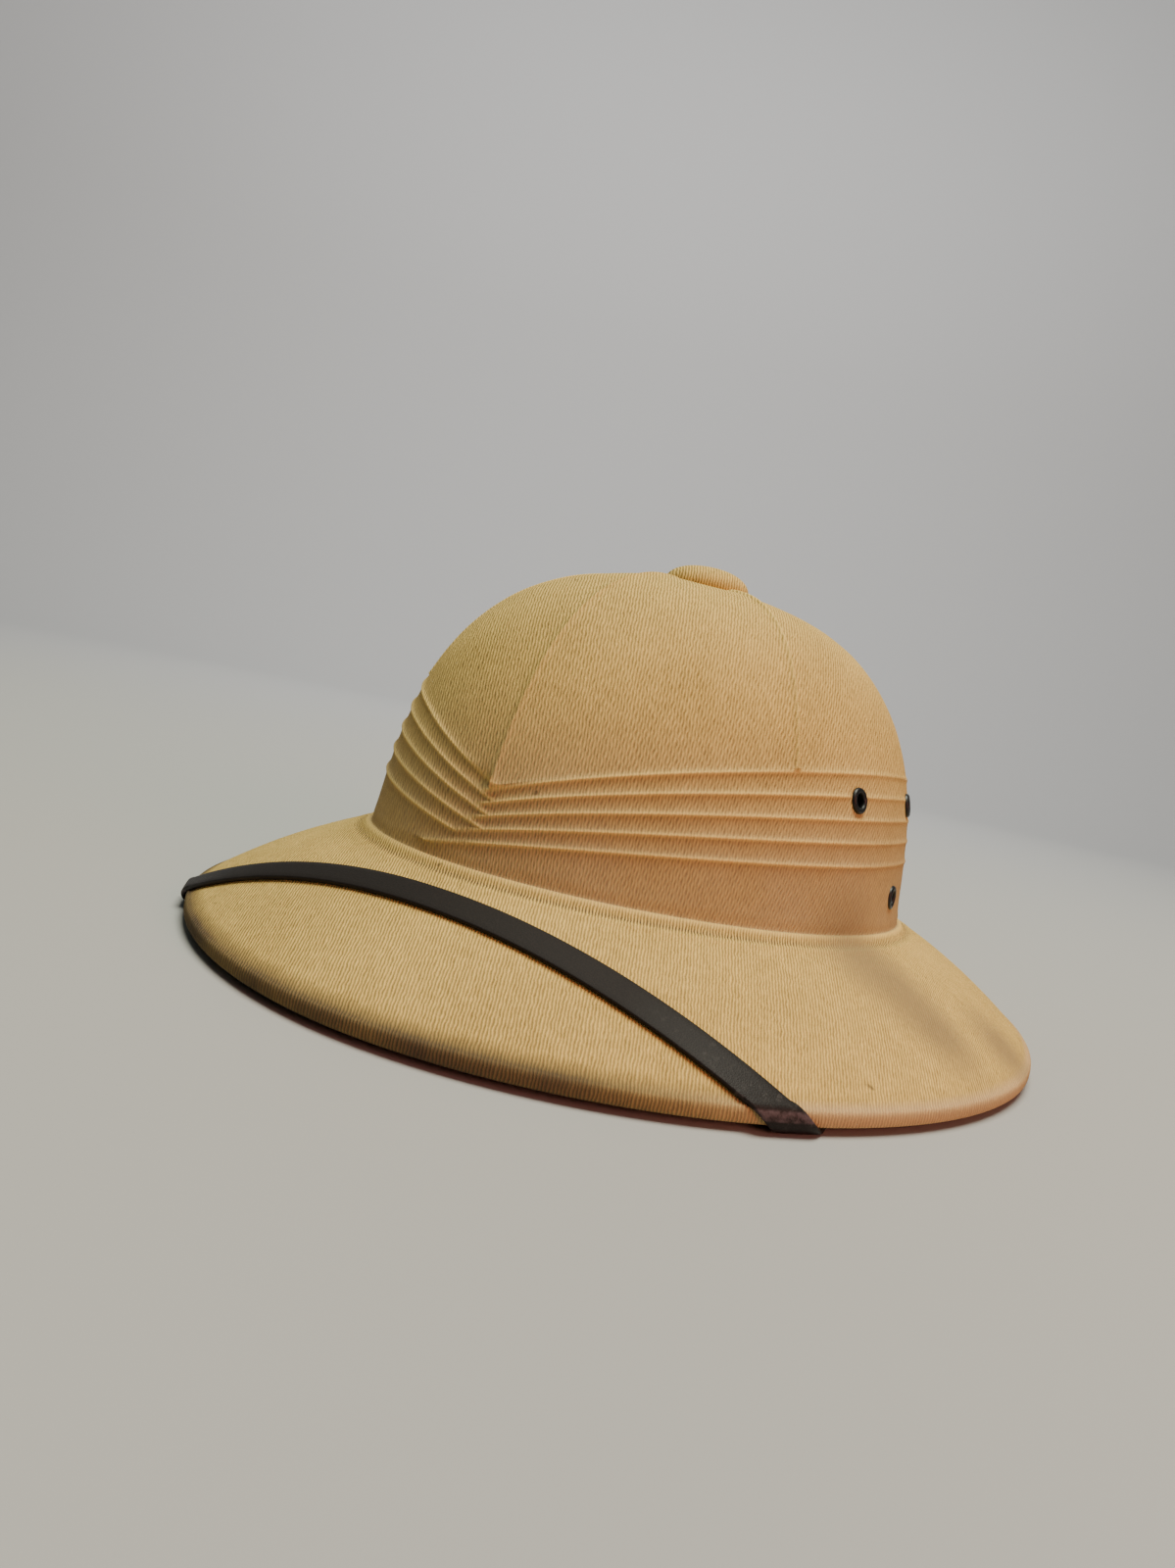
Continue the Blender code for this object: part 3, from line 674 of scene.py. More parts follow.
def strap_round_rim(lift, count):
    """Stations round the rim's nose and along its flat underside."""
    radius = RIM_RADIUS + lift
    lean = math.radians(STRAP_RIM_LEAN)
    half = STRAP_WIDTH / 2.0 / math.cos(lean)
    step = np.linalg.norm(rim_point(STRAP_EDGE_TURN + 1.0, 0.0, radius)
                          - rim_point(STRAP_EDGE_TURN, 0.0, radius))
    angles = np.linspace(BRIM_SLOPE_TURN, -90.0, count)
    places = [(angle, math.radians(BRIM_SLOPE_TURN - angle) * radius, 0.0) for angle in angles]
    places.append((-90.0, places[-1][1] + RIM_FLAT, RIM_FLAT))
    stations = []
    for angle, travel, inset in places:
        pair = []
        for side in (-1.0, 1.0):
            turn = STRAP_EDGE_TURN + (travel * math.tan(lean) + side * half) / step
            outward = edge_outward(turn)
            face = outward * math.cos(math.radians(angle)) + UP * math.sin(math.radians(angle))
            pair.append((rim_point(turn, angle, radius) - outward * inset, face))
        stations.append(pair)
    return stations


def strap_wall_point(turn, height):
    face = -crown_normal(turn, height)
    return crown_point(turn, height) + face * (WALL + INSIDE_GAP + STRAP_THICKNESS / 2.0), face


def strap_along_wall(count):
    """Stations inside the crown, rising to the eyelet that holds the strap's end."""
    anchor_height = RIM_LIFT + EYELET_LOWER_HEIGHT
    per_turn = np.linalg.norm(crown_point(EYELET_LOWER_TURN + 1.0, anchor_height)
                              - crown_point(EYELET_LOWER_TURN, anchor_height))
    end_turn = EYELET_LOWER_TURN + STRAP_END_MARGIN / per_turn
    slope = STRAP_WALL_DROP / (EYELET_LOWER_TURN - STRAP_WALL_TURN)
    stations = []
    for station in range(count):
        share = station / (count - 1)
        turn = STRAP_WALL_TURN + (end_turn - STRAP_WALL_TURN) * share
        height = anchor_height + slope * (turn - EYELET_LOWER_TURN)
        point, face = strap_wall_point(turn, height)
        ahead, _ = strap_wall_point(turn + TURN_STEP, height + slope * TURN_STEP)
        across = unit(np.cross(face, unit(ahead - point)))
        stations.append([(point + across * (side * STRAP_WIDTH), face) for side in (-0.5, 0.5)])
    return stations


def station_middle(pair):
    return (pair[0][0] + pair[1][0]) / 2.0


def strap_free_run(start, finish, count):
    """Stations that hang between the rim and the crown's wall, turning over by a quarter."""
    first = station_middle(start)
    last = station_middle(finish[0])
    leaving = unit(np.array(STRAP_LEAVING))
    arriving = unit(station_middle(finish[1]) - last)
    reach = np.linalg.norm(last - first) * STRAP_PULL
    tucked = last - arriving * reach + finish[0][0][1] * STRAP_TUCK
    controls = [first, first + leaving * reach, tucked, last]
    across_start = start[1][0] - start[0][0]
    across_finish = finish[0][1][0] - finish[0][0][0]
    stations = []
    for station in range(1, count + 1):
        t = station / (count + 1)
        weights = [(1 - t) ** 3, 3 * t * (1 - t) ** 2, 3 * t * t * (1 - t), t ** 3]
        point = sum(weight * control for weight, control in zip(weights, controls))
        slope = (-3 * (1 - t) ** 2 * controls[0] + 3 * (1 - t) * (1 - 3 * t) * controls[1]
                 + 3 * t * (2 - 3 * t) * controls[2] + 3 * t * t * controls[3])
        along = unit(slope)
        ease = smooth(t)
        raw = across_start * (1.0 - ease) + across_finish * ease
        square = unit(raw - along * np.dot(raw, along)) * STRAP_WIDTH
        straighten = min(1.0, t / STRAP_STRAIGHT_BY)
        across = across_start * (1.0 - straighten) + square * straighten
        face = unit(np.cross(along, across))
        stations.append([(point + across * side, face) for side in (-0.5, 0.5)])
    return stations


# Strap's cross-section as shares of its width and thickness, with eased edges
STRAP_SECTION = (
    (-0.5, 0.16), (-0.485, 0.38), (-0.45, 0.46), (-0.25, 0.49), (0.0, 0.5), (0.25, 0.49),
    (0.45, 0.46), (0.485, 0.38), (0.5, 0.16), (0.5, -0.3), (0.47, -0.5), (0.0, -0.5),
    (-0.47, -0.5), (-0.5, -0.3),
)


def build_strap(leather):
    """Fine band over the brim, round the rim and up inside the crown, on both sides alike."""
    lift = GAP + STRAP_THICKNESS / 2.0
    brim = strap_on_brim(lift, STRAP_BRIM_STATIONS)
    rim = strap_round_rim(lift, STRAP_RIM_STATIONS)
    wall = strap_along_wall(STRAP_WALL_STATIONS)
    half = brim + rim + strap_free_run(rim[-1], wall, STRAP_FREE_STATIONS) + wall
    mirror = np.array([-1.0, 1.0, 1.0])
    other = [[(point * mirror, face * mirror) for point, face in pair] for pair in half[:0:-1]]
    stations = other + half
    middles = [station_middle(pair) for pair in half]
    steps = [0.0] + [float(np.linalg.norm(b - a)) for a, b in zip(middles, middles[1:])]
    travel = np.cumsum(steps)
    travel = travel - travel[len(brim)]
    along = np.concatenate([travel[:0:-1], travel])
    vertices = []
    from_rim = []
    for pair, distance in zip(stations, along):
        (first, first_face), (second, second_face) = pair
        for across, thick in STRAP_SECTION:
            share = across + 0.5
            point = first * (1.0 - share) + second * share
            face = unit(first_face * (1.0 - share) + second_face * share)
            vertices.append(point + face * (thick * STRAP_THICKNESS))
            from_rim.append(distance / MM)
    size = len(STRAP_SECTION)
    faces = ring_faces(len(stations), size, False)
    faces.append(tuple(range(size)))
    faces.append(tuple(range(size * (len(stations) - 1), size * len(stations))))
    strap = mesh_object("leather_chin_strap", vertices, faces, leather)
    store(strap, "from_rim_mm", from_rim)
    cut_eyelet_holes(strap, ("strap_eyelet_left", "strap_eyelet_right"), leather)
    strap.data.shade_smooth()
    strap.data.set_sharp_from_angle(angle=math.radians(SHARP_ANGLE))
    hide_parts("chin_strap")
    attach(strap, "root")


def rim_rings(turns):
    """Rings round the rim's nose, along its flat underside and up to the inside."""
    rim = []
    for angle in np.linspace(BRIM_SLOPE_TURN, -90.0, RIM_ROWS):
        eased = smooth((BRIM_SLOPE_TURN - angle) / RIM_SQUARE_TURN)
        rim.append(rim_point(turns, angle, RIM_RADIUS, 2.0 + (RIM_SQUARENESS - 2.0) * eased))
    inward = -edge_outward(turns)
    under = rim_point(turns, -90.0, RIM_RADIUS) + inward * RIM_FLAT
    return rim + [under, under + (inward + UP) * (RIM_RADIUS * RIM_INSIDE_RISE)]


def store_lip_dirt_shade_and_light(shell, turns, rings, first, last):
    """Mark the lip's darkening between two rings, dirt and painted shade that is strongest round the
    front and left, and the painted light on its right side.
    """
    lip = np.zeros((len(rings), len(turns)))
    painted_light_share = np.zeros_like(lip)
    dirt_and_shade_reach = smooth((LIP_DIRT_AND_SHADE_RIGHT - turns) / LIP_DIRT_AND_SHADE_FADE)
    dirt_and_shade_reach = dirt_and_shade_reach * smooth((turns - LIP_DIRT_AND_SHADE_LEFT) / LIP_DIRT_AND_SHADE_FADE)
    lip[first:last] = LIP_DIRT_AND_SHADE_LEAST + (1.0 - LIP_DIRT_AND_SHADE_LEAST) * dirt_and_shade_reach
    lip[first - 1] = LIP_DIRT_AND_SHADE_TOP_SHARE * lip[first]
    painted_light_share[first:last] = 1.0 - dirt_and_shade_reach
    store(shell, "lip", lip)
    store(shell, "painted_lip_light", painted_light_share)


def build_shell(twill, inside):
    """Fine shell: twill outside and round the rim, plain pressed fibre inside."""
    turns = column_turns()
    grid, parts = outer_grid(turns)
    normals = grid_normals(grid)
    normals[0] = UP
    relief, crests, groove, wall_tint = shell_relief(turns, grid, parts)
    outer = grid + normals * relief[..., None]
    inner = (grid - normals * WALL)[::-INSIDE_EVERY]
    inner = np.concatenate([inner, (grid[:1] - normals[:1] * WALL)])
    rim = rim_rings(turns)
    rings = np.concatenate([outer, np.stack(rim), inner])
    vertices = rings.reshape(-1, 3)
    shell = mesh_object("twill_shell", vertices, ring_faces(len(rings), len(turns), True), twill)
    shell.data.materials.append(inside)
    inside_from = len(outer) + len(rim)
    face_rows = np.arange(len(shell.data.polygons)) // len(turns)
    shell.data.polygons.foreach_set("material_index", (face_rows >= inside_from - 1).astype(np.int32))
    rest = np.zeros((len(rings) - len(outer), len(turns)))
    store(shell, "crest", np.concatenate([crests, rest]))
    store(shell, "groove", np.concatenate([groove, rest]))
    store(shell, "wall_tint", np.concatenate([wall_tint, rest]))
    store(shell, "steep", np.concatenate([1.0 - normals[..., 2] ** 2, rest]))
    store_lip_dirt_shade_and_light(shell, turns, rings, len(outer), inside_from - 1)
    cut_eyelet_holes(shell, tuple(place[0] for place in eyelet_places()), twill)
    shell.data.shade_smooth()
    shell.data.set_sharp_from_angle(angle=math.radians(SHELL_SHARP_ANGLE))
    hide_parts("shell")
    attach(shell, "root")


def build_button(twill):
    """Covered button with a soft shoulder, its stem and the flat head inside."""
    base = CROWN_TOP + GAP
    inside = CROWN_TOP - WALL - GAP
    profile = [(0.0, base + BUTTON_EDGE + BUTTON_DOME)]
    for row in range(1, BUTTON_ROWS + 1):
        angle = math.radians(90.0 * (1.0 - row / BUTTON_ROWS))
        rise = BUTTON_DOME * math.sin(angle) ** BUTTON_RISE_POWER
        radius = BUTTON_RADIUS * math.cos(angle) ** BUTTON_SIDE_POWER
        profile.append((radius, base + BUTTON_EDGE + rise))
    profile += [(BUTTON_RADIUS - BUTTON_EDGE * inward, base + BUTTON_EDGE * rise)
                for inward, rise in BUTTON_SHOULDER]
    profile += [
        (STEM_RADIUS, base),
        (STEM_RADIUS, inside),
        (STEM_HEAD_RADIUS, inside),
        (STEM_HEAD_RADIUS, inside - STEM_HEAD_THICKNESS),
        (0.0, inside - STEM_HEAD_THICKNESS),
    ]
    button = turned_object("covered_button", profile, BUTTON_SIDES, twill)
    button.data.transform(Matrix.Translation((0.0, CROWN_CENTRE_Y, 0.0)))
    button.data.set_sharp_from_angle(angle=math.radians(SHARP_ANGLE))
    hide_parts("top_button")
    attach(button, "root")


def build_eyelet(name, turn, height, depth, enamel):
    """Rolled grommet: a rounded flange, a barrel and a flat ring inside."""
    back = -depth - INSIDE_GAP
    middle = (EYELET_BORE_RADIUS + EYELET_FLANGE_RADIUS) / 2.0
    half = (EYELET_FLANGE_RADIUS - EYELET_BORE_RADIUS) / 2.0
    profile = [(EYELET_BARREL_RADIUS, EYELET_SEAT)]
    for step in range(EYELET_ROLL_STEPS + 1):
        angle = math.pi * step / EYELET_ROLL_STEPS
        rise = EYELET_ROLL * EYELET_RISE * math.sin(angle) ** EYELET_RISE_POWER
        profile.append((middle + half * math.cos(angle), EYELET_SEAT + rise))
    profile += [
        (EYELET_BORE_RADIUS, back - EYELET_BACK_THICKNESS),
        (EYELET_BACK_RADIUS, back - EYELET_BACK_THICKNESS),
        (EYELET_BACK_RADIUS, back),
        (EYELET_BARREL_RADIUS, back),
    ]
    eyelet = turned_object(f"enamel_{name}", profile, EYELET_SIDES, enamel)
    place_on_crown(eyelet, turn, RIM_LIFT + height)
    eyelet.data.set_sharp_from_angle(angle=math.radians(SHARP_ANGLE))
    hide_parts(name)
    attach(eyelet, "root")


class Nodes:
    """A material's node tree, with a short call for each kind of node."""

    def __init__(self, name):
        self.material = bpy.data.materials.new(name)
        self.material.use_nodes = True
        self.tree = self.material.node_tree
        self.shader = self.tree.nodes["Principled BSDF"]

    def add(self, kind, inputs=(), **settings):
        node = self.tree.nodes.new(kind)
        for key, value in settings.items():
            setattr(node, key, value)
        for key, value in dict(inputs).items():
            self.feed(node.inputs[key], value)
        return node

    def feed(self, socket, value):
        if isinstance(value, bpy.types.NodeSocket):
            self.tree.links.new(value, socket)
        else:
            socket.default_value = value

    def math(self, operation, first, second=0.0, third=0.0):
        inputs = {0: first, 1: second, 2: third}
        return self.add("ShaderNodeMath", inputs, operation=operation).outputs[0]

    def noise(self, vector, scale, detail=2.0, roughness=0.5):
        inputs = {"Vector": vector, "Scale": scale, "Detail": detail, "Roughness": roughness}
        return self.add("ShaderNodeTexNoise", inputs).outputs["Fac"]

    def ramp(self, factor, low, high, first=0.0, second=1.0):
        inputs = {"Value": factor, "From Min": low, "From Max": high, "To Min": first,
                  "To Max": second}
        return self.add("ShaderNodeMapRange", inputs).outputs["Result"]

    def mix(self, factor, first, second):
        node = self.add("ShaderNodeMix", data_type="RGBA")
        self.feed(node.inputs[0], factor)
        self.feed(node.inputs[6], first)
        self.feed(node.inputs[7], second)
        return node.outputs[2]

    def attribute(self, name):
        return self.add("ShaderNodeAttribute", attribute_name=name).outputs["Fac"]

    def coordinates(self):
        return self.add("ShaderNodeTexCoord").outputs["Object"]

    def times(self, first, second):
        return self.math("MULTIPLY", first, second)

    def finish(self, colour, roughness, specular, height, distance, strength):
        """Feed the shader and return the material."""
        inputs = {"Height": height, "Distance": distance, "Strength": strength}
        self.feed(self.shader.inputs["Base Color"], colour)
        self.feed(self.shader.inputs["Roughness"], roughness)
        self.feed(self.shader.inputs["Specular IOR Level"], specular)
        self.feed(self.shader.inputs["Normal"], self.add("ShaderNodeBump", inputs).outputs["Normal"])
        return self.material


# Twill weave: its lines run towards the front's left, closer threads cross them
TWILL_TURN = 27.0
TWILL_PITCH = 0.87 * MM
TWILL_DRAPE = 1.2
THREAD_PITCH = 1.35 * MM
THREAD_SLANT = -0.4
SIDE_SLANT = 0.35
SIDE_FACING = (0.78, 0.93)
WARP = 0.9 * MM
JITTER = 0.75 * MM
CROSSING_SHARE = 0.4
FUZZ_SHARE = 0.35
WEAVE_TONE = 0.5
SLUB_TONE = 0.45
CLOUD_TONE = 0.3
TONE_RANGE = (0.3, 1.05)
TWILL_BUMP = (0.22 * MM, 0.9)
TWILL_ROUGHNESS = 0.95
TWILL_SPECULAR = 0.06

# Noises of the twill: scale, detail and roughness
WARP_NOISE = (60.0, 3.0)
JITTER_NOISE = (450.0, 2.0)
FUZZ_NOISE = (2600.0, 2.0)
SLUB_NOISE = (420.0, 3.0, 0.7)
CLOUD_NOISE = (22.0, 4.0, 0.6)
LIP_NOISE = (55.0, 4.0, 0.6)
SPECK_NOISE = (170.0, 1.0)

# How much of each tint shows: a range read and the shares given at its ends
CLOUDS_TO_WALL_TINT = (0.3, 0.7, 0.3, 0.55)
CREST_TO_HIGHLIGHT_AND_WEAR = (0.45, 0.95, 0.0, 0.5)
WEAVE_TO_GROOVE = (0.2, 0.9, 0.9, 0.1)
NOISE_TO_LIP = (0.25, 0.7, 0.75, 0.97)
CLOUDS_TO_STAIN = (0.3, 0.7, 0.6, 0.85)
NOISE_TO_SPECK = (0.79, 0.83, 0.0, 0.7)
STAIN_EDGE = (1.3, 0.3)
PAINTED_LIP_LIGHT_SHARE = 0.5
TWILL_PALE = (0.80, 0.555, 0.17, 1.0)
TWILL_DARK = (0.17, 0.11, 0.035, 1.0)
CREST_HIGHLIGHT_AND_WEAR = (0.88, 0.62, 0.19, 1.0)
WALL_TINT_COLOUR = (0.31, 0.24, 0.18, 1.0)
# Dark brown for specks of dirt, for the lip's dirt and painted shade, and for the painted shade in the
# groove at the crown's foot
DIRT_AND_SHADE_BROWN = (0.075, 0.055, 0.037, 1.0)
# Painted light on the lip's right side
LIP_PAINTED_LIGHT = (0.62, 0.41, 0.25, 1.0)
GREY_STAIN = (0.27, 0.19, 0.09, 1.0)

# Grey patches on the brim: centre and half sizes in metres
BRIM_STAINS = (
    ((0.090, -0.039, 0.032), (0.015, 0.020, 0.018)),
    ((0.104, -0.042, 0.026), (0.017, 0.019, 0.018)),
    ((0.119, -0.044, 0.017), (0.015, 0.014, 0.015)),
    ((0.133, -0.010, 0.012), (0.015, 0.016, 0.015)),
)


def place_mask(nodes, vector, centre, size):
    """1 inside an ellipsoid of the given half sizes, fading to 0 outside it."""
    shifted = nodes.add("ShaderNodeVectorMath", {0: vector, 1: centre}, operation="SUBTRACT")
    scaled = nodes.add("ShaderNodeVectorMath", {0: shifted.outputs[0], 1: size},
                       operation="DIVIDE")
    length = nodes.add("ShaderNodeVectorMath", {0: scaled.outputs[0]}, operation="LENGTH")
    return nodes.ramp(length.outputs["Value"], *STAIN_EDGE)


def wave(nodes, distance, pitch):
    """0 to 1 and back once for each pitch."""
    swing = nodes.math("SINE", nodes.times(distance, 2.0 * math.pi / pitch))
    return nodes.math("MULTIPLY_ADD", swing, 0.5, 0.5)


def sideways_mask(nodes, turn):
    """1 where the cloth faces along the given turn, which its lines would otherwise smear."""
    normal = nodes.add("ShaderNodeTexCoord").outputs["Normal"]
    facing = nodes.add("ShaderNodeVectorMath",
                       {0: normal, 1: (math.cos(turn), math.sin(turn), 0.0)},
                       operation="DOT_PRODUCT").outputs["Value"]
    return nodes.ramp(nodes.math("ABSOLUTE", facing), *SIDE_FACING)


def blend(nodes, share, first, second):
    """Number between two others, the first at share 0 and the second at 1."""
    return nodes.math("MULTIPLY_ADD", share, nodes.math("SUBTRACT", second, first), first)


def twill_weave(nodes, coordinates):
    """Height of the weave, as draped lines with threads that cross them on steep cloth."""
    turned = nodes.add("ShaderNodeVectorRotate",
                       {"Vector": coordinates, "Angle": -math.radians(TWILL_TURN)},
                       rotation_type="Z_AXIS").outputs["Vector"]
    x, y, z = nodes.add("ShaderNodeSeparateXYZ", {0: turned}).outputs
    raised = nodes.math("SUBTRACT", z, RIM_LIFT + JUNCTION_HEIGHT)
    drape = nodes.times(nodes.math("MAXIMUM", raised, 0.0), -TWILL_DRAPE)
    warp = nodes.math("ADD", nodes.times(nodes.noise(coordinates, *WARP_NOISE), WARP),
                      nodes.times(nodes.noise(coordinates, *JITTER_NOISE), JITTER))
    across = nodes.math("ADD", nodes.math("MULTIPLY_ADD", x, drape, x), warp)
    along = nodes.math("MULTIPLY_ADD", z, SIDE_SLANT, nodes.math("ADD", y, warp))
    sideways = sideways_mask(nodes, math.radians(TWILL_TURN))
    wale = blend(nodes, sideways, wave(nodes, across, TWILL_PITCH), wave(nodes, along, TWILL_PITCH))
    thread = wave(nodes, nodes.math("MULTIPLY_ADD", z, THREAD_SLANT, across), THREAD_PITCH)
    crossing = nodes.times(nodes.attribute("steep"), CROSSING_SHARE)
    crossing = nodes.times(crossing, nodes.math("SUBTRACT", 1.0, sideways))
    fuzz = nodes.times(nodes.noise(coordinates, *FUZZ_NOISE), FUZZ_SHARE)
    return nodes.math("ADD", blend(nodes, crossing, wale, thread), fuzz)


def twill_material():
    nodes = Nodes("twill_cloth")
    coordinates = nodes.coordinates()
    weave = twill_weave(nodes, coordinates)
    slubs = nodes.noise(coordinates, *SLUB_NOISE)
    clouds = nodes.noise(coordinates, *CLOUD_NOISE)
    tone = nodes.math("ADD", nodes.times(weave, WEAVE_TONE), nodes.times(slubs, SLUB_TONE))
    tone = nodes.math("ADD", tone, nodes.times(clouds, CLOUD_TONE))
    colour = nodes.mix(nodes.ramp(tone, *TONE_RANGE), TWILL_DARK, TWILL_PALE)
    # Greyer and darker towards the crown's foot, in cloudy patches
    wall_tint = nodes.times(nodes.attribute("wall_tint"), nodes.ramp(clouds, *CLOUDS_TO_WALL_TINT))
    colour = nodes.mix(wall_tint, colour, WALL_TINT_COLOUR)
    # Painted highlight on the crests, with some wear on the ribs
    colour = nodes.mix(nodes.ramp(nodes.attribute("crest"), *CREST_TO_HIGHLIGHT_AND_WEAR), colour, CREST_HIGHLIGHT_AND_WEAR)
    # Painted shade in the groove at the crown's foot, dotted by the weave
    groove = nodes.times(nodes.attribute("groove"), nodes.ramp(weave, *WEAVE_TO_GROOVE))
    colour = nodes.mix(groove, colour, DIRT_AND_SHADE_BROWN)
    # Painted light on the lip's right side, where the lip is least darkened
    colour = nodes.mix(nodes.times(nodes.attribute("painted_lip_light"), PAINTED_LIP_LIGHT_SHARE), colour, LIP_PAINTED_LIGHT)
    # Lip darkened by dirt and painted shade, in patches
    lip_dirt_and_shade_patches = nodes.ramp(nodes.noise(coordinates, *LIP_NOISE), *NOISE_TO_LIP)
    colour = nodes.mix(nodes.times(nodes.attribute("lip"), lip_dirt_and_shade_patches), colour, DIRT_AND_SHADE_BROWN)
    for centre, size in BRIM_STAINS:
        stain = nodes.times(place_mask(nodes, coordinates, centre, size),
                            nodes.ramp(clouds, *CLOUDS_TO_STAIN))
        colour = nodes.mix(stain, colour, GREY_STAIN)
    specks = nodes.ramp(nodes.noise(coordinates, *SPECK_NOISE), *NOISE_TO_SPECK)
    colour = nodes.mix(specks, colour, DIRT_AND_SHADE_BROWN)
    return nodes.finish(colour, TWILL_ROUGHNESS, TWILL_SPECULAR, weave, *TWILL_BUMP)


# Plain pressed fibre inside the shell
FIBRE_GRAIN_NOISE = (900.0, 3.0, 0.7)
FIBRE_CLOUD_NOISE = (30.0, 4.0)
FIBRE_RANGE = (0.3, 0.7)
FIBRE_DARK = (0.22, 0.15, 0.08, 1.0)
FIBRE_PALE = (0.36, 0.27, 0.16, 1.0)
FIBRE_ROUGHNESS = 0.9
FIBRE_SPECULAR = 0.5
FIBRE_BUMP = (0.15 * MM, 0.7)


def fibre_material():
    nodes = Nodes("pressed_fibre")
    coordinates = nodes.coordinates()
    grain = nodes.noise(coordinates, *FIBRE_GRAIN_NOISE)
    clouds = nodes.noise(coordinates, *FIBRE_CLOUD_NOISE)
    tone = nodes.math("MULTIPLY_ADD", grain, 0.5, nodes.times(clouds, 0.5))
    colour = nodes.mix(nodes.ramp(tone, *FIBRE_RANGE), FIBRE_DARK, FIBRE_PALE)
    return nodes.finish(colour, FIBRE_ROUGHNESS, FIBRE_SPECULAR, grain, *FIBRE_BUMP)


# Strap leather: distances along it are in mm from the rim's turn
LEATHER_CELLS = 1400.0
LEATHER_CELL_EDGE = 0.25
LEATHER_FINE_NOISE = (3000.0, 2.0)
LEATHER_FINE_RANGE = (0.3, 0.7)
SCUFF_NOISE = (330.0, 5.0, 0.75)
SCUFF_RANGE = (0.56, 0.72, 0.0, 0.35)
NEAR_RIM_RANGE = (-42.0, -6.0)
CREASE_START = (2.6, 3.4)
CREASE_END = (6.6, 6.0)
CREASE_NOISE = (500.0, 4.0, 0.7)
CREASE_RANGE = (0.36, 0.6, 0.0, 0.75)
LEATHER_DARK = (0.006, 0.0045, 0.004, 1.0)
LEATHER_PALE = (0.013, 0.01, 0.009, 1.0)
SCUFF_GREY = (0.11, 0.105, 0.1, 1.0)
CREASE_BROWN = (0.10, 0.072, 0.078, 1.0)
LEATHER_ROUGHNESS = (0.7, 0.5)
LEATHER_SPECULAR = 0.2
GRAIN_SHARE = 0.6
LEATHER_BUMP = (0.05 * MM, 0.6)


def leather_material():
    nodes = Nodes("black_strap_leather")
    coordinates = nodes.coordinates()
    cells = nodes.add("ShaderNodeTexVoronoi", {"Vector": coordinates, "Scale": LEATHER_CELLS},
                      feature="DISTANCE_TO_EDGE").outputs["Distance"]
    grain = nodes.ramp(cells, 0.0, LEATHER_CELL_EDGE)
    fine = nodes.noise(coordinates, *LEATHER_FINE_NOISE)
    travel = nodes.attribute("from_rim_mm")
    near_rim = nodes.ramp(travel, *NEAR_RIM_RANGE)
    scuff = nodes.ramp(nodes.noise(coordinates, *SCUFF_NOISE), *SCUFF_RANGE)
    crease = nodes.times(nodes.ramp(travel, *CREASE_START), nodes.ramp(travel, *CREASE_END))
    broken = nodes.ramp(nodes.noise(coordinates, *CREASE_NOISE), *CREASE_RANGE)
    colour = nodes.mix(nodes.ramp(fine, *LEATHER_FINE_RANGE), LEATHER_DARK, LEATHER_PALE)
    colour = nodes.mix(nodes.times(scuff, near_rim), colour, SCUFF_GREY)
    colour = nodes.mix(nodes.times(crease, broken), colour, CREASE_BROWN)
    roughness = nodes.ramp(near_rim, 0.0, 1.0, *LEATHER_ROUGHNESS)
    height = nodes.math("ADD", nodes.times(grain, GRAIN_SHARE), fine)
    return nodes.finish(colour, roughness, LEATHER_SPECULAR, height, *LEATHER_BUMP)


# Black enamel, chipped in places
CHIP_NOISE = (900.0, 3.0, 0.7)
CHIP_RANGE = (0.68, 0.74)
ENAMEL_BLACK = (0.008, 0.009, 0.009, 1.0)
CHIP_GREY = (0.12, 0.12, 0.11, 1.0)
ENAMEL_METALLIC = 0.35
DULL_NOISE = (500.0, 3.0)
DULL_RANGE = (0.3, 0.7, 0.28, 0.5)


def enamel_material():
    nodes = Nodes("black_enamelled_metal")
    coordinates = nodes.coordinates()
    chips = nodes.ramp(nodes.noise(coordinates, *CHIP_NOISE), *CHIP_RANGE)
    nodes.feed(nodes.shader.inputs["Base Color"], nodes.mix(chips, ENAMEL_BLACK, CHIP_GREY))
    nodes.shader.inputs["Metallic"].default_value = ENAMEL_METALLIC
    nodes.feed(nodes.shader.inputs["Roughness"],
               nodes.ramp(nodes.noise(coordinates, *DULL_NOISE), *DULL_RANGE))
    return nodes.material


# Stage in metres: rings of the flat floor, its turn upwards and the backdrop's top
FLOOR_RINGS = (0.0, 0.6, 1.4, 2.2)
SWEEP_RADIUS = 1.4
SWEEP_STEPS = 12
BACKDROP_TOP = 3.2
STAGE_SIDES = 96
STAGE_GREY = (0.36, 0.36, 0.35, 1.0)
STAGE_ROUGHNESS = 0.9

# Lights: name, place, size in metres, power in watts, colour and the place aimed at
HAT_MIDDLE = (0.0, 0.0, 0.06)
BACKDROP_PLACE = (-1.7, 3.2, 1.2)
LIGHTS = (
    ("overhead", (0.2, -0.05, 1.6), 1.1, 44.0, (1.0, 1.0, 0.84), HAT_MIDDLE),
    ("warm_side", (1.5, -0.6, 0.6), 0.9, 14.0, (1.0, 0.32, 0.24), HAT_MIDDLE),
    ("backdrop_wash", (-0.6, 1.0, 2.4), 1.6, 110.0, (1.0, 0.99, 1.0), BACKDROP_PLACE),
)
WORLD_COLOUR = (0.62, 0.95, 1.0, 1.0)
WORLD_STRENGTH = 0.1


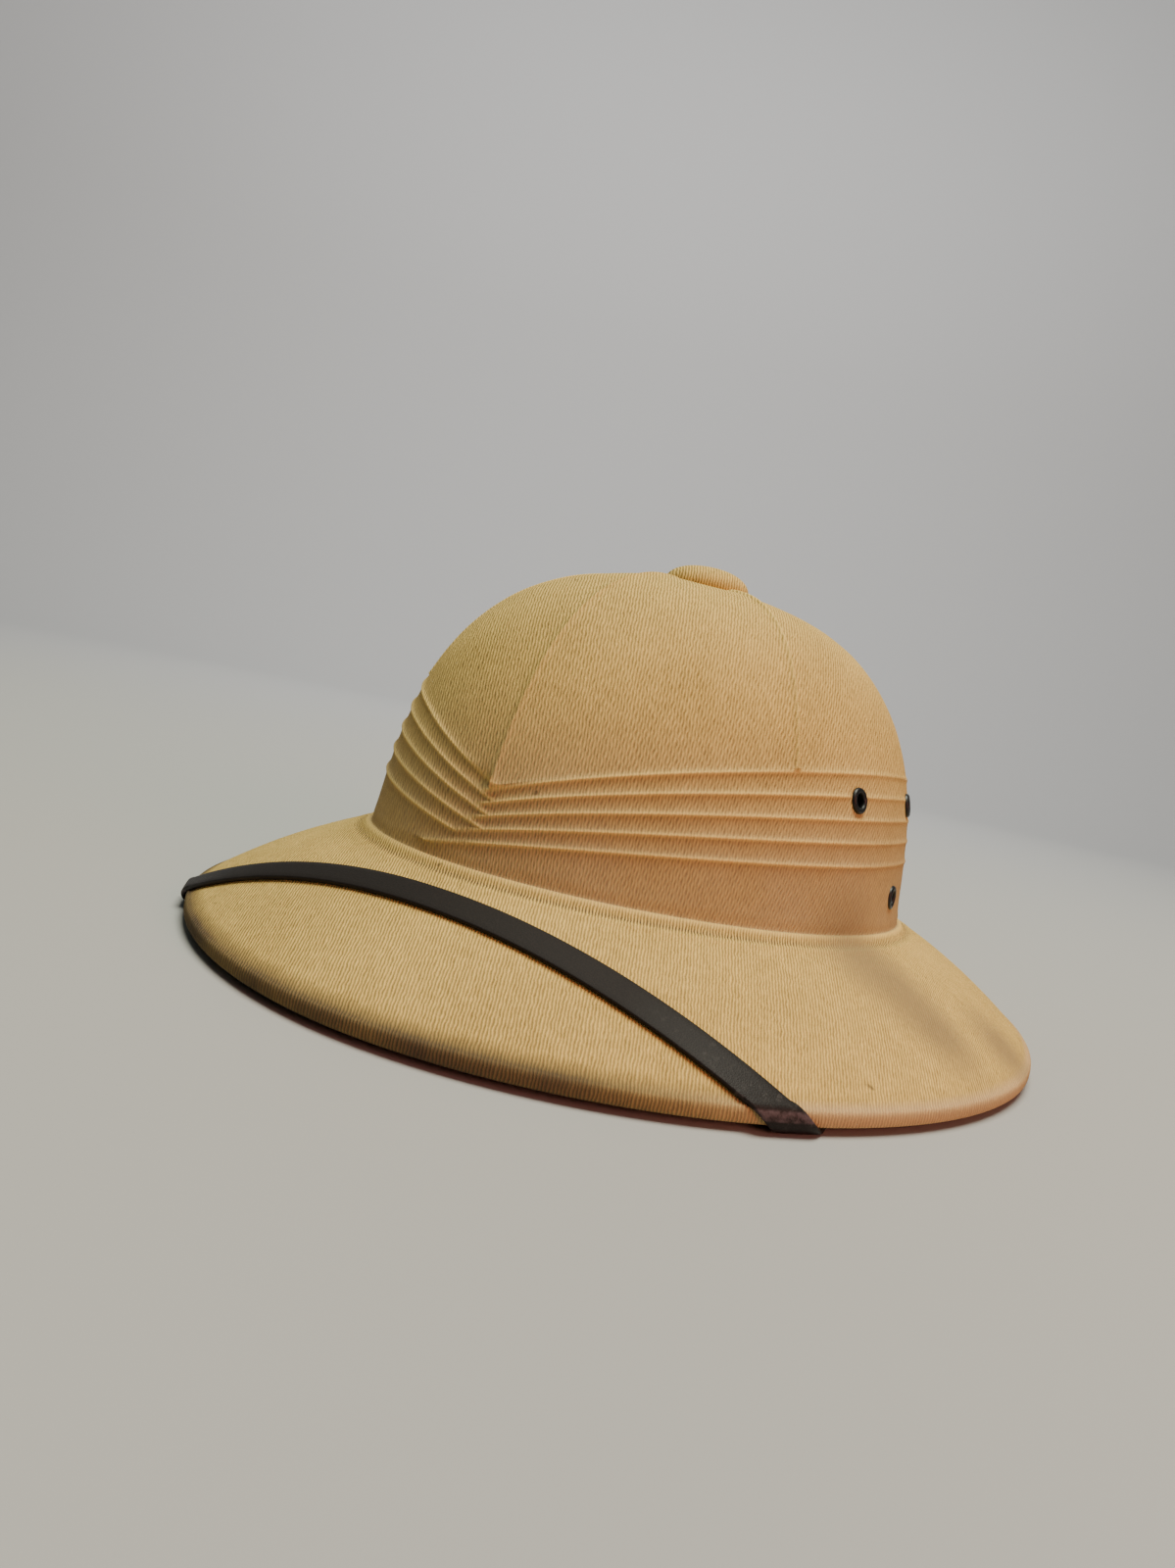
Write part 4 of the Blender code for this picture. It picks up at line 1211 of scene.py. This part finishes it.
def build_stage():
    """Pale floor that turns up into a round backdrop far behind."""
    edge = FLOOR_RINGS[-1]
    profile = [(radius, 0.0) for radius in FLOOR_RINGS]
    for step in range(1, SWEEP_STEPS + 1):
        angle = math.radians(90.0 * step / SWEEP_STEPS)
        profile.append((edge + SWEEP_RADIUS * math.sin(angle), SWEEP_RADIUS * (1.0 - math.cos(angle))))
    profile.append((edge + SWEEP_RADIUS, BACKDROP_TOP))
    nodes = Nodes("floor_paper")
    nodes.shader.inputs["Base Color"].default_value = STAGE_GREY
    nodes.shader.inputs["Roughness"].default_value = STAGE_ROUGHNESS
    floor = turned_object("floor", profile, STAGE_SIDES, nodes.material)
    floor.data.flip_normals()


def build_light(name, place, size, power, colour, target):
    data = bpy.data.lights.new(name, "AREA")
    data.shape = "DISK"
    data.size = size
    data.energy = power
    data.color = colour
    light = bpy.data.objects.new(name, data)
    light.location = place
    aim = Vector(target) - Vector(place)
    light.rotation_euler = aim.to_track_quat("-Z", "Y").to_euler()
    bpy.context.collection.objects.link(light)


def build_camera():
    """Camera at the photograph's place, tilt and roll."""
    turn = math.radians(CAMERA_TURN)
    dip = math.radians(CAMERA_DIP)
    roll = math.radians(CAMERA_ROLL)
    back = Vector((math.sin(turn) * math.cos(dip), -math.cos(turn) * math.cos(dip), math.sin(dip)))
    level = Vector((math.cos(turn), math.sin(turn), 0.0))
    upright = back.cross(level)
    right = level * math.cos(roll) + upright * math.sin(roll)
    up = upright * math.cos(roll) - level * math.sin(roll)
    data = bpy.data.cameras.new("camera")
    data.sensor_width = SENSOR_MM
    data.lens = FOCAL_PX / PHOTO_HEIGHT_PX * SENSOR_MM
    data.clip_start = CAMERA_CLIP
    camera = bpy.data.objects.new("camera", data)
    axes = Matrix((right, up, back)).transposed().to_4x4()
    camera.matrix_world = Matrix.Translation(Vector(CAMERA_PLACE)) @ axes
    bpy.context.collection.objects.link(camera)
    bpy.context.scene.camera = camera


def build_world():
    world = bpy.data.worlds.new("studio")
    world.use_nodes = True
    background = world.node_tree.nodes["Background"]
    background.inputs["Color"].default_value = WORLD_COLOUR
    background.inputs["Strength"].default_value = WORLD_STRENGTH
    bpy.context.scene.world = world


def main():
    build_camera()
    build_world()
    build_stage()
    for light in LIGHTS:
        build_light(*light)
    twill = twill_material()
    fibre = fibre_material()
    leather = leather_material()
    enamel = enamel_material()
    build_shell(twill, fibre)
    build_button(twill)
    build_strap(leather)
    for name, turn, height, depth in eyelet_places():
        build_eyelet(name, turn, height, depth, enamel)


main()
bpy.context.view_layer.update()
